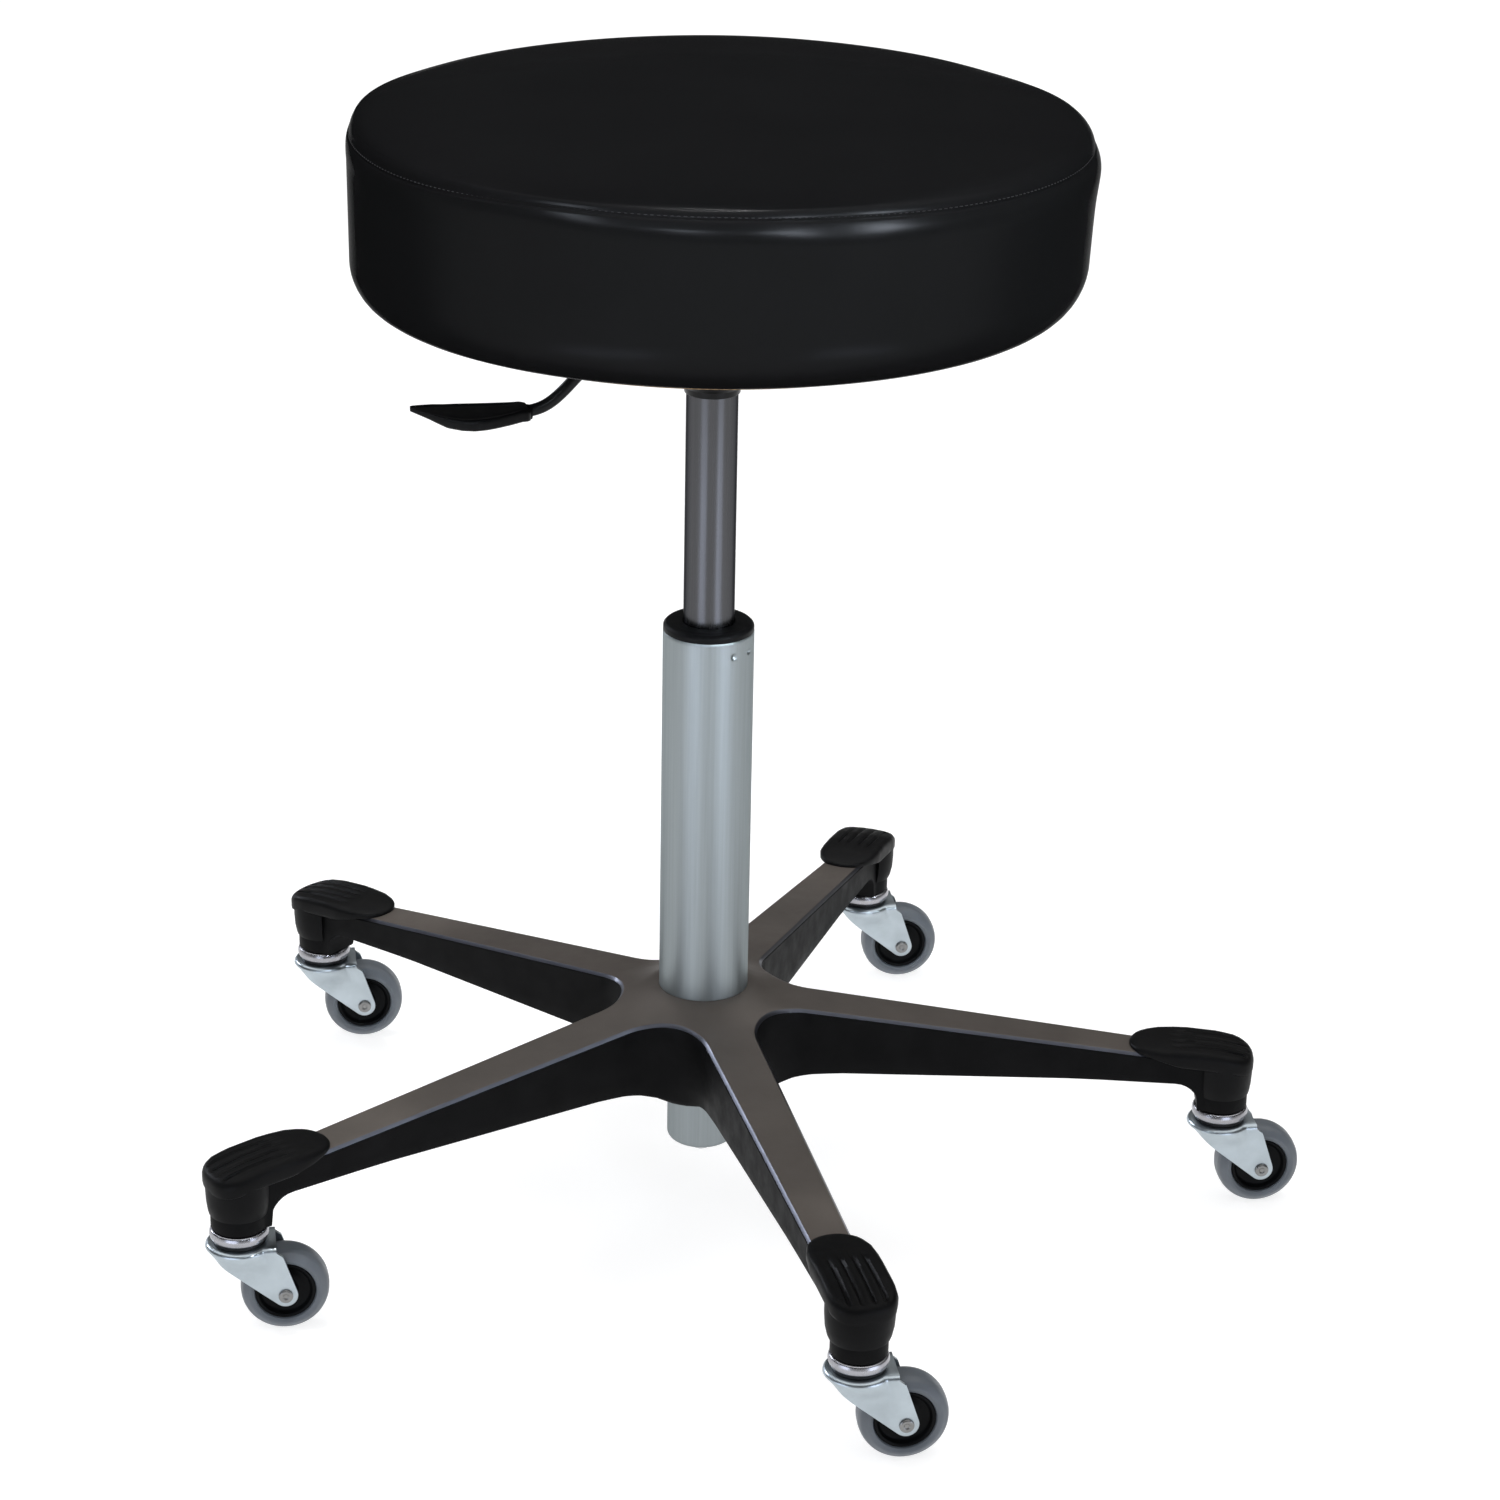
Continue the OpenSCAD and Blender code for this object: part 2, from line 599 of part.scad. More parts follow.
module seat_board() color("#b08a57") difference() {
    translate([0, 0, board_z]) cylinder(h = board_t, r = board_r);
    at_bolts() translate([0, 0, board_z - 1]) cylinder(h = board_t + 2, r = 4.3);
    at_bolts() translate([0, 0, board_top_z - 1.6]) cylinder(h = 3, r = 9.6);
}

module tee_nuts() color("#aeb2b4") at_bolts() difference() {
    union() {
        translate([0, 0, board_z + 1]) cylinder(h = board_t - 1.1, r = 4.2);
        translate([0, 0, board_top_z - 1.5]) cylinder(h = 1.4, r = 9.5);
    }
    cylinder(h = board_top_z + 5, r = bolt_r + running);
}

module dust_cover() color("#202124") difference() {
    translate([0, 0, dust_z]) cylinder(h = dust_t, r = dust_r);
    at_bolts() translate([0, 0, dust_z - 1]) cylinder(h = dust_t + 2, r = bolt_hole_r);
}

module seat_plate() color("#1a1b1d") rotate(lever_angle) difference() {
    translate([0, 0, plate_z]) linear_extrude(plate_t) union() {
        square([plate_w, plate_w - 2 * plate_corner_r], center = true);
        square([plate_w - 2 * plate_corner_r, plate_w], center = true);
        for (x = [-1, 1], y = [-1, 1])
            translate([x, y] * (plate_w / 2 - plate_corner_r)) circle(r = plate_corner_r);
    }
    rotate(-lever_angle) at_bolts() translate([0, 0, plate_z - 1]) cylinder(h = plate_t + 2, r = bolt_hole_r);
}

module seat_washers() color("#8f9496") at_bolts()
    ring(washer_r, bolt_r + 0.3, plate_z - slip - washer_t, plate_z - slip);

module seat_bolts() color("#3a3c3e") at_bolts() {
    low = plate_z - 2 * slip - washer_t;
    translate([0, 0, low - bolt_head_h]) cylinder(h = bolt_head_h, r = bolt_head_r, $fn = 6);
    translate([0, 0, low - 0.5]) cylinder(h = board_top_z - low, r = bolt_r);
}

// Staples that hold the hem to the board, a crown and two legs each
module staples() color("#a9adb0") for (k = [0 : staple_count - 1]) rotate(k * 360 / staple_count)
    translate([staple_circle_r, 0, seat_base_z - staple_wire]) {
        translate([-staple_wire / 2, -staple_w / 2, 0]) cube([staple_wire, staple_w, staple_wire]);
        for (y = [-staple_w / 2, staple_w / 2 - staple_wire]) translate([-staple_wire / 2, y, 0])
            cube([staple_wire, staple_wire, staple_leg]);
    }

// ---- Nodes ----

star_base();
stand_tube();
tube_bushing();
lower_race();
caster_balls();
piston_rod();
piston();
piston_seal();
upper_race();
thrust_balls();
retaining_clip();
bumper();
gas_tube();
rod_guide();
valve_body();
valve_pin();
taper_socket();
mechanism_box();
seat_plate();
seat_bolts();
seat_washers();
tee_nuts();
seat_board();
seat_foam();
seat_cover();
dust_cover();
staples();
pivot_pin();
lever_rod();
lever_paddle();
for (i = [1 : arm_count]) {
    toe_cap(i);
    caster_stem(i);
    caster_fork(i);
    caster_axle(i);
    wheel_core(i);
    wheel_tread(i);
}
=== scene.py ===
"""Looks of the adjustable swivel stool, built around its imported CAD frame. Helpers work in millimetres."""
import json
import math

import bmesh
import bpy
import numpy as np
from mathutils import Matrix, Vector


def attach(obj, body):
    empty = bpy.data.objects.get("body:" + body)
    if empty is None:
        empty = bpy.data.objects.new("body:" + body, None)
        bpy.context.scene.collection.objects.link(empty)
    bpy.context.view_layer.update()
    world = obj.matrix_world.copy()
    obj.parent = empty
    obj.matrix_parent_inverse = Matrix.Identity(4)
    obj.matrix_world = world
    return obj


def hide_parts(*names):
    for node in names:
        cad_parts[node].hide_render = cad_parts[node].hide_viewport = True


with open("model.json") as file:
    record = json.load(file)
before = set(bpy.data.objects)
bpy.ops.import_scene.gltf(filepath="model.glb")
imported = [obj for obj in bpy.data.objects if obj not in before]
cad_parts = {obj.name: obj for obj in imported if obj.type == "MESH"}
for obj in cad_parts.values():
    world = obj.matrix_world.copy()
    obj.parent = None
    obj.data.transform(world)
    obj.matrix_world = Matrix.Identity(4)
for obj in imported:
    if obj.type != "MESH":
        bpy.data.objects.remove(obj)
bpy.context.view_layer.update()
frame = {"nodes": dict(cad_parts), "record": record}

MM = 0.001
RNG = np.random.default_rng(7)

# ---- Sizes shared with the CAD, in millimetres ----
ARMS = 5
FIRST_ARM = -74.0
ARM_STEP = 72.0
STEM_R = 296.0
TRAIL = 23.5
TRAIL_ANGLE = 8.0
WHEEL_R = 23.75
WHEEL_W = 20.0
LEVER_ANGLE = 190.0
SEAT_LOW = 531.0
SHOULDER = 626.0
CROWN = 7.0


# ---- Mesh helpers ----
def direction(a):
    return np.array([math.cos(math.radians(a)), math.sin(math.radians(a))])


def turn(points, a, about=(0, 0)):
    """Turns an array of points by a degrees about a vertical line."""
    p = np.array(points, float)
    c, s = direction(a)
    x, y = p[..., 0] - about[0], p[..., 1] - about[1]
    p[..., 0], p[..., 1] = about[0] + c * x - s * y, about[1] + s * x + c * y
    return p


def grid_faces(rows, cols, wrap=False, start=0):
    faces = []
    for i in range(rows - 1):
        a, b = start + i * cols, start + (i + 1) * cols
        for j in range(cols - (0 if wrap else 1)):
            k = (j + 1) % cols
            faces.append([a + j, a + k, b + k, b + j])
    return faces


class Builder:
    """Collects patches of a mesh, in millimetres, with a material index for each."""

    def __init__(self):
        self.verts, self.faces, self.mats = [], [], []

    def patch(self, grid, wrap=False, mat=0):
        g = np.array(grid, float)
        rows, cols = g.shape[:2]
        start = len(self.verts)
        self.verts += [tuple(v) for v in g.reshape(-1, 3)]
        new = grid_faces(rows, cols, wrap, start)
        self.faces += new
        self.mats += [mat] * len(new)

    def fan(self, ring, centre, mat=0):
        start = len(self.verts)
        self.verts += [tuple(v) for v in ring] + [tuple(centre)]
        n = len(ring)
        self.faces += [[start + i, start + (i + 1) % n, start + n] for i in range(n)]
        self.mats += [mat] * n

    def face(self, points, mat=0):
        start = len(self.verts)
        self.verts += [tuple(v) for v in points]
        self.faces.append(list(range(start, start + len(points))))
        self.mats.append(mat)

    def turned(self, profile, n=96, angles=None, mat=0, at=None):
        """A solid of revolution about Z from (r, z) points; at maps its points into place."""
        angles = np.linspace(0, 360, n, endpoint=False) if angles is None else np.array(angles)
        a = np.radians(angles)
        g = np.array([[(r * math.cos(t), r * math.sin(t), z) for t in a] for r, z in profile])
        self.patch(at(g) if at else g, wrap=True, mat=mat)

    def object(self, name, materials, angle=35, merge=0.004):
        mesh = bpy.data.meshes.new(name)
        mesh.from_pydata([[c * MM for c in v] for v in self.verts], [], self.faces)
        for m in materials:
            mesh.materials.append(m)
        mesh.polygons.foreach_set("material_index", self.mats)
        bm = bmesh.new()
        bm.from_mesh(mesh)
        bmesh.ops.remove_doubles(bm, verts=bm.verts, dist=merge * MM)
        bmesh.ops.dissolve_degenerate(bm, edges=bm.edges, dist=merge * MM * 0.5)
        bmesh.ops.recalc_face_normals(bm, faces=bm.faces)
        bm.to_mesh(mesh)
        bm.free()
        mesh.shade_smooth()
        mesh.set_sharp_from_angle(angle=math.radians(angle))
        o = bpy.data.objects.new(name, mesh)
        bpy.context.scene.collection.objects.link(o)
        return o


def rounded(points, steps=5):
    """A polyline through (x, y, radius) points, each corner rounded by an arc of that radius."""
    out = []
    n = len(points)
    for i, (x, y, r) in enumerate(points):
        p = np.array([x, y], float)
        if r <= 0 or i in (0, n - 1):
            out.append(p)
            continue
        a = np.array(points[i - 1][:2], float) - p
        b = np.array(points[i + 1][:2], float) - p
        la, lb = np.linalg.norm(a), np.linalg.norm(b)
        a, b = a / la, b / lb
        half = math.acos(max(-1, min(1, a @ b))) / 2
        d = min(r / math.tan(half), la * 0.49, lb * 0.49)
        r = d * math.tan(half)
        c = p + (a + b) / np.linalg.norm(a + b) * (r / math.sin(half))
        s, e = p + a * d - c, p + b * d - c
        a0, a1 = math.atan2(s[1], s[0]), math.atan2(e[1], e[0])
        a1 += 2 * math.pi * round((a0 - a1) / (2 * math.pi))
        out += [c + r * np.array([math.cos(t), math.sin(t)]) for t in np.linspace(a0, a1, steps + 1)]
    return [tuple(p) for p in out]


def smooth(t):
    t = np.clip(t, 0, 1)
    return t * t * (3 - 2 * t)


def use(o, body, slot, *nodes):
    """Puts a piece on its body and hides the CAD nodes that it stands for; its slot is not used."""
    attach(o, body)
    if nodes:
        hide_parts(*nodes)
    return o


# ---- Materials ----
class Nodes:
    """A Principled material whose colour, roughness and bump follow noise in the object's own space."""

    def __init__(self, name, colour, rough, metal=0.0, **constants):
        self.m = bpy.data.materials.new(name)
        self.m.use_nodes = True
        self.t = self.m.node_tree
        self.b = self.t.nodes["Principled BSDF"]
        self.b.inputs["Base Color"].default_value = (*colour, 1)
        self.b.inputs["Roughness"].default_value = rough
        self.b.inputs["Metallic"].default_value = metal
        for k, v in constants.items():
            self.b.inputs[k.replace("_", " ")].default_value = v
        self.colour = colour
        self.co = self.t.nodes.new("ShaderNodeTexCoord").outputs["Object"]
        self.height = None

    def node(self, kind, **inputs):
        n = self.t.nodes.new(kind)
        for k, v in inputs.items():
            k = k.replace("_", " ")
            if isinstance(v, bpy.types.NodeSocket):
                self.t.links.new(v, n.inputs[k])
            else:
                n.inputs[k].default_value = v
        return n

    def scaled(self, scale):
        n = self.node("ShaderNodeMapping", Scale=scale if isinstance(scale, tuple) else (scale,) * 3)
        self.t.links.new(self.co, n.inputs["Vector"])
        return n.outputs["Vector"]

    def noise(self, scale, detail=4.0, rough=0.55, distort=0.0):
        return self.node("ShaderNodeTexNoise", Vector=self.scaled(scale), Scale=1.0, Detail=detail,
                         Roughness=rough, Distortion=distort).outputs["Fac"]

    def cells(self, scale, feature="F1"):
        n = self.node("ShaderNodeTexVoronoi", Vector=self.scaled(scale), Scale=1.0, Randomness=1.0)
        n.feature = feature
        return n.outputs["Distance"]

    def ramp(self, fac, stops):
        n = self.t.nodes.new("ShaderNodeValToRGB")
        self.t.links.new(fac, n.inputs["Fac"])
        e = n.color_ramp.elements
        while len(e) < len(stops):
            e.new(0.5)
        for k, (pos, v) in enumerate(stops):
            e[k].position = pos
            e[k].color = (*v, 1) if isinstance(v, tuple) else (v, v, v, 1)
        return n.outputs["Color"]

    def tint(self, fac, low, high, lo=0.3, hi=0.7):
        """The base colour runs from colour*low to colour*high as fac goes from lo to hi."""
        a = tuple(c * low for c in self.colour)
        b = tuple(c * high for c in self.colour)
        self.t.links.new(self.ramp(fac, [(lo, a), (hi, b)]), self.b.inputs["Base Color"])
        return self

    def polish(self, fac, low, high, lo=0.3, hi=0.7):
        self.t.links.new(self.ramp(fac, [(lo, low), (hi, high)]), self.b.inputs["Roughness"])
        return self

    def bump(self, fac, distance, strength=1.0):
        n = self.node("ShaderNodeBump", Height=fac, Distance=distance * MM, Strength=strength)
        if self.height:
            self.t.links.new(self.height, n.inputs["Normal"])
        self.height = n.outputs["Normal"]
        self.t.links.new(self.height, self.b.inputs["Normal"])
        return self


def vinyl():
    # Half metal with a dark edge tint, so that the seat's upright sides don't mirror the pale floor
    n = Nodes("black_vinyl", (0.0090, 0.0090, 0.0092), 0.24, 0.5, Specular_IOR_Level=0.0,
              Specular_Tint=(0.15, 0.15, 0.15, 1))
    n.tint(n.noise(14, 5), 0.94, 1.06)
    n.polish(n.noise(35, 6), 0.24, 0.27)
    n.bump(n.cells(520, "DISTANCE_TO_EDGE"), 0.05, 0.2)
    n.bump(n.noise(1500, 3), 0.03, 0.2)
    n.bump(n.noise(28, 3), 0.35, 0.2)
    return n.m


def satin_top():
    n = Nodes("base_top_metal", (0.100, 0.086, 0.075), 0.44, 0.3, Specular_IOR_Level=0.25)
    n.tint(n.noise(26, 5), 0.9, 1.1)
    n.polish(n.noise(60, 5), 0.38, 0.48)
    n.bump(n.noise(1400, 3), 0.02, 0.4)
    return n.m


def bare_edge():
    n = Nodes("base_edge_bare", (0.088, 0.092, 0.110), 0.36, 1.0)
    n.tint(n.noise(60, 3), 0.92, 1.05)
    n.polish(n.noise(90, 3), 0.33, 0.40)
    return n.m


def cast_black():
    n = Nodes("base_side_black", (0.0034, 0.0034, 0.0036), 0.55, 0.0, Specular_IOR_Level=0.06)
    n.tint(n.noise(50, 5), 0.8, 1.4)
    n.polish(n.noise(90, 5), 0.48, 0.62)
    n.bump(n.noise(900, 4), 0.05, 0.5)
    n.bump(n.noise(60, 3), 0.25, 0.3)
    return n.m


def satin_tube():
    n = Nodes("stand_metal", (0.285, 0.315, 0.325), 0.44, 1.0, Specular_Tint=(0.55, 0.57, 0.57, 1))
    n.tint(n.noise((600, 600, 9), 3), 0.95, 1.05)
    n.polish(n.noise((500, 500, 12), 4), 0.40, 0.48)
    n.bump(n.noise((1200, 1200, 25), 3), 0.006, 0.5)
    return n.m


def dark_chrome():
    n = Nodes("dark_chrome", (0.082, 0.083, 0.088), 0.26, 1.0, Specular_Tint=(0.3, 0.3, 0.3, 1))
    n.tint(n.noise((400, 400, 6), 3), 0.93, 1.07)
    n.polish(n.noise((350, 350, 10), 3), 0.22, 0.3)
    n.bump(n.noise((900, 900, 14), 2), 0.004, 0.4)
    return n.m


def metal(name, colour, rough, spread=0.06, grain=700, depth=0.012):
    n = Nodes(name, colour, rough, 1.0)
    n.tint(n.noise(45, 5), 0.86, 1.12)
    n.polish(n.noise(120, 5), max(rough - spread, 0.05), rough + spread)
    n.bump(n.noise(grain, 3), depth, 0.5)
    return n.m


def plastic(name, colour, rough, spec=0.35, grain=900, depth=0.03):
    n = Nodes(name, colour, rough, 0.0, Specular_IOR_Level=spec)
    n.tint(n.noise(40, 5), 0.82, 1.25)
    n.polish(n.noise(110, 4), rough - 0.06, rough + 0.07)
    n.bump(n.noise(grain, 4), depth, 0.5)
    return n.m


def tread():
    n = Nodes("tread_rubber", (0.118, 0.133, 0.150), 0.42, 0.0, Specular_IOR_Level=0.45)
    n.tint(n.noise(70, 5), 0.9, 1.1)
    n.polish(n.noise(160, 5), 0.36, 0.52)
    n.bump(n.noise(700, 4), 0.03, 0.5)
    return n.m


def plywood():
    n = Nodes("plywood", (0.42, 0.27, 0.13), 0.62)
    w = n.node("ShaderNodeTexWave", Vector=n.scaled((1, 1, 1)), Scale=70.0, Distortion=6.0, Detail=3.0)
    n.tint(w.outputs["Fac"], 0.75, 1.15, 0.1, 0.9)
    n.polish(n.noise(90, 4), 0.55, 0.72)
    n.bump(n.noise((700, 60, 700), 3), 0.05, 0.5)
    return n.m


def cloth(name, colour, rough, grain, depth):
    n = Nodes(name, colour, rough, 0.0, Specular_IOR_Level=0.2)
    n.tint(n.noise(90, 5), 0.75, 1.3)
    n.polish(n.noise(150, 3), rough - 0.05, min(rough + 0.08, 1.0))
    n.bump(n.cells(grain), depth, 0.6)
    return n.m


MAT = {
    "black_vinyl": vinyl(),
    "base_top": satin_top(),
    "base_edge": bare_edge(),
    "base_side": cast_black(),
    "stand_metal": satin_tube(),
    "dark_chrome": dark_chrome(),
    "race_chrome": metal("race_chrome", (0.37, 0.37, 0.395), 0.27, 0.03, 300, 0.002),
    "zinc": metal("zinc", (0.43, 0.485, 0.52), 0.33, 0.04, 300, 0.004),
    "rivet_steel": metal("rivet_steel", (0.25, 0.25, 0.245), 0.36, 0.05, 300, 0.006),
    "steel": metal("steel", (0.42, 0.43, 0.44), 0.32),
    "bearing_steel": metal("bearing_steel", (0.62, 0.63, 0.64), 0.12, 0.03, 500, 0.003),
    "black_steel": metal("black_steel", (0.045, 0.045, 0.048), 0.38),
    "brass": metal("brass", (0.62, 0.47, 0.2), 0.28),
    "black_paint": plastic("black_paint", (0.004, 0.004, 0.0042), 0.34, 0.16, 1100, 0.02),
    "black_plastic": plastic("black_plastic", (0.0038, 0.0038, 0.004), 0.46, 0.08),
    "core_nylon": plastic("core_nylon", (0.0035, 0.0038, 0.0042), 0.4, 0.07),
    "tread_rubber": tread(),
    "seal_rubber": plastic("seal_rubber", (0.012, 0.012, 0.012), 0.62, 0.3),
    "plywood": plywood(),
    "foam": cloth("foam", (0.68, 0.62, 0.42), 0.9, 900, 0.25),
    "dust_cloth": cloth("dust_cloth", (0.014, 0.014, 0.016), 0.85, 1300, 0.08),
    "thread": cloth("thread", (0.010, 0.010, 0.011), 0.5, 2500, 0.03),
}

record = frame["record"]
for sub in record["subparts"]:
    node = frame["nodes"][sub["node"]]
    slot = sub["material_slot"]
    finish = MAT["base_side" if slot == "base_metal" else slot]
    node.data.materials.clear()
    node.data.materials.append(finish)

# ---- Star base ----
EDGE_TURN = math.degrees(math.atan((31 - 23.6) / 2 / (262 - 60)))
EDGE_OFF = (15.5 + 60 * math.tan(math.radians(EDGE_TURN))) * math.cos(math.radians(EDGE_TURN))
HALF_GAP = ARM_STEP / 2 + EDGE_TURN
WEB_R = 29.0
WEB_C = (EDGE_OFF + WEB_R) / math.sin(math.radians(HALF_GAP))
BOSS_R = 15.0
BOSS_LOW = 61.2
ROOF = 5.0
WALL = 3.6
CHAMFER = 1.8


def arm_top(r):
    return 127 - 0.121 * np.asarray(r, float)


def star_top(x, y):
    r = np.hypot(x, y)
    t = np.clip((54 - r) / 27, 0, 1)
    return np.minimum(arm_top(r) + 4.9 * t**1.8, 128.3)


def arm_under(x, y=0.0):
    x = np.asarray(x, float)
    r = np.where(x < 100, np.hypot(x, y), x)
    low = np.interp(r, [36, 38, 42, 48.6, 55, 65, 80, 215, 268.5],
                    [69, 70.4, 72.6, 75.2, 77.3, 79, 80, 80, 78])
    neck = 64 + np.sqrt(np.clip(14**2 - (x - 268.5) ** 2, 0, None))
    low = np.where(x > 268.5, neck, low)
    return np.where(x >= 282, BOSS_LOW, low)


RIBS = (95, 150, 205)
STRAIGHT = [62.6, 63, 66, 72, 80, 90]
for rib in RIBS:
    STRAIGHT += [rib - 0.4, rib, rib + 3, rib + 3.4]
    STRAIGHT += [rib + 18, rib + 34] if rib < 205 else [rib + 22, rib + 42]
STRAIGHT += [261.6, 262, 265, 268.5, 272, 275, 277.5, 279.5, 281, 282, 282.1]


def arm_outline(d):
    """Left edge of an arm, from the corner between two arms to its tip, moved inwards by d."""
    c = WEB_C * direction(36)
    pts = [c + (WEB_R + d) * direction(a) for a in np.linspace(216, 270 - EDGE_TURN, 13)]
    cos_t, tan_t = math.cos(math.radians(EDGE_TURN)), math.tan(math.radians(EDGE_TURN))
    pts += [np.array([x, (EDGE_OFF - d) / cos_t - x * tan_t]) for x in STRAIGHT]
    neck = EDGE_OFF / cos_t - 285 * tan_t + 6
    fx = STEM_R - math.sqrt((BOSS_R + 6) ** 2 - neck**2)
    lean = math.degrees(math.atan2(neck, fx - STEM_R))
    pts += [np.array([fx, neck]) + (6 + d) * direction(a) for a in np.linspace(270, 180 + lean, 5)[1:]]
    pts += [np.array([STEM_R, 0]) + (BOSS_R - d) * direction(a) for a in np.linspace(lean, 0, 13)[1:]]
    return np.array(pts)


def both_sides(points, cols):
    """Rows across an arm between its left edge and the mirrored right edge."""
    t = np.array(cols)[None, :]
    x = np.repeat(points[:, 0:1], len(cols), axis=1)
    return x, points[:, 1:2] * t


def star():
    b = Builder()
    cols = np.array([-1, -0.9, -0.75, -0.5, -0.25, 0, 0.25, 0.5, 0.75, 0.9, 1])
    layers = [(CHAMFER + 0.35, 0), (CHAMFER, 0.1), (0.35, CHAMFER - 0.15), (0.0, CHAMFER + 0.5)]
    top_in = arm_outline(layers[0][0])
    edge0 = arm_outline(0.0)
    under0 = arm_under(edge0[:, 0], edge0[:, 1])
    n_arc = 13
    for i in range(ARMS):
        a = FIRST_ARM + i * ARM_STEP
        x, y = both_sides(top_in, cols)
        b.patch(turn(np.dstack([x, y, star_top(x, y)]), a), mat=0)
        hole = []
        for px, py in zip(x[0], y[0]):
            hole.append(np.array([px, py]) / math.hypot(px, py) * 25.1)
        rings = []
        for f in (0, 0.35, 0.7, 1):
            q = [(1 - f) * np.array([px, py]) + f * h for px, py, h in zip(x[0], y[0], hole)]
            rings.append([(p[0], p[1], float(star_top(p[0], p[1]))) for p in q])
        rings.append([(*h, 126.5) for h in hole])
        b.patch(turn(rings, a), mat=0)
        for side in (1, -1):
            rows = []
            for d, drop in layers:
                p = arm_outline(d)
                rows.append(np.column_stack([p[:, 0], side * p[:, 1], star_top(p[:, 0], p[:, 1]) - drop]))
            b.patch(turn(np.array(rows[:2]), a), mat=0)
            b.patch(turn(np.array(rows[1:3]), a), mat=1)
            b.patch(turn(np.array(rows[2:4]), a), mat=2)
            head = rows[3][:, 2]
            wall = [rows[3]]
            for f in (0.25, 0.5, 0.75):
                z = head + f * (under0 + 1.2 - head)
                wall.append(np.column_stack([edge0[:, 0], side * edge0[:, 1], z]))
            for d, up in ((0.0, 1.2), (0.35, 0.35), (1.2, 0.0)):
                p = arm_outline(d)
                wall.append(np.column_stack([p[:, 0], side * p[:, 1], under0 + up]))
            b.patch(turn(np.array(wall), a), mat=2)
        # Underside, hollow between its walls and ribs
        rim = arm_outline(1.2)
        inner = arm_outline(WALL)
        px, half, wall_y = rim[:, 0], rim[:, 1], inner[:, 1]
        open_ = (px >= 63) & (px <= 261.6)
        for r0 in RIBS:
            open_ &= ~((px >= r0 - 0.01) & (px <= r0 + 3.01))
        roof = star_top(px, 0 * px) - ROOF
        rows = []
        for k in range(len(px)):
            w = min(wall_y[k], half[k] - 0.01)
            low = under0[k]
            zi = roof[k] if open_[k] else low
            half_rows = [(half[k], low), (w, low), (w - 0.4, zi), (w * 0.45, zi)]
            line = [(px[k], -h, z) for h, z in half_rows] + [(px[k], 0, zi)]
            line += [(px[k], h, z) for h, z in half_rows[::-1]]
            rows.append(line)
        rows = np.array(rows)
        t9 = rows[n_arc - 1, :, 1] / rows[n_arc - 1, -1, 1]
        arc38 = np.array([(*(38.2 * direction(36 * t)), 70.5) for t in t9])
        for k in range(n_arc - 1):
            f = (k + 0.6) / (n_arc - 1 + 0.6)
            for j in range(1, len(t9) - 1):
                q = (1 - f) * arc38[j] + f * rows[n_arc - 1, j]
                rows[k, j] = (q[0], q[1], float(arm_under(q[0], q[1])))
        b.patch(turn(np.concatenate([arc38[None], rows]), a), mat=2)
        # Hub barrel below the arms, and the bore
        barrel = [(38.2, 70.5), (37.7, 69.3), (37, 68.1), (36, 67.3), (34.8, 67), (30, 67), (24.4, 67),
                  (24.2, 74)]
        b.patch(turn([[(*(r * direction(36 * t)), z) for t in t9] for r, z in barrel], a), mat=2)
        top_ring = rings[-1]
        low_ring = [(*(24.2 * direction(36 * t)), 74) for t in np.linspace(-1, 1, len(hole))]
        b.patch(turn([top_ring, low_ring], a), mat=2)
    return b.object("star_base_shell", [MAT["base_top"], MAT["base_edge"], MAT["base_side"]], angle=28)


use(star(), "base", "base_metal", "star_base")

# ---- Toe caps ----
CAP_IN, CAP_IN_NOSE, CAP_HALF, CAP_NOSE = 242.4, 26.0, 18.5, 17.0


def superellipse(phi, nose, half, power):
    c, s = math.cos(phi), math.sin(phi)
    return nose * abs(c) ** (2 / power), half * math.copysign(abs(s) ** (2 / power), s)


def cap_rows(d, phis, xs):
    """Outer end, sides and inner end of a cap's outline at inset d, as rows across the cap."""
    half, nose = CAP_HALF - d, CAP_NOSE - d
    inner = [superellipse(p, CAP_IN_NOSE - d, half, 2.2) for p in phis]
    outer = [superellipse(p, nose, half, 2.6) for p in phis]
    x_in = np.array([CAP_IN + CAP_IN_NOSE - v[0] for v in inner])
    x_out = np.array([STEM_R + v[0] for v in outer])
    y_in, y_out = np.array([v[1] for v in inner]), np.array([v[1] for v in outer])
    f = np.array(xs)[:, None]
    return x_in + f * (x_out - x_in), y_in + f * (y_out - y_in)


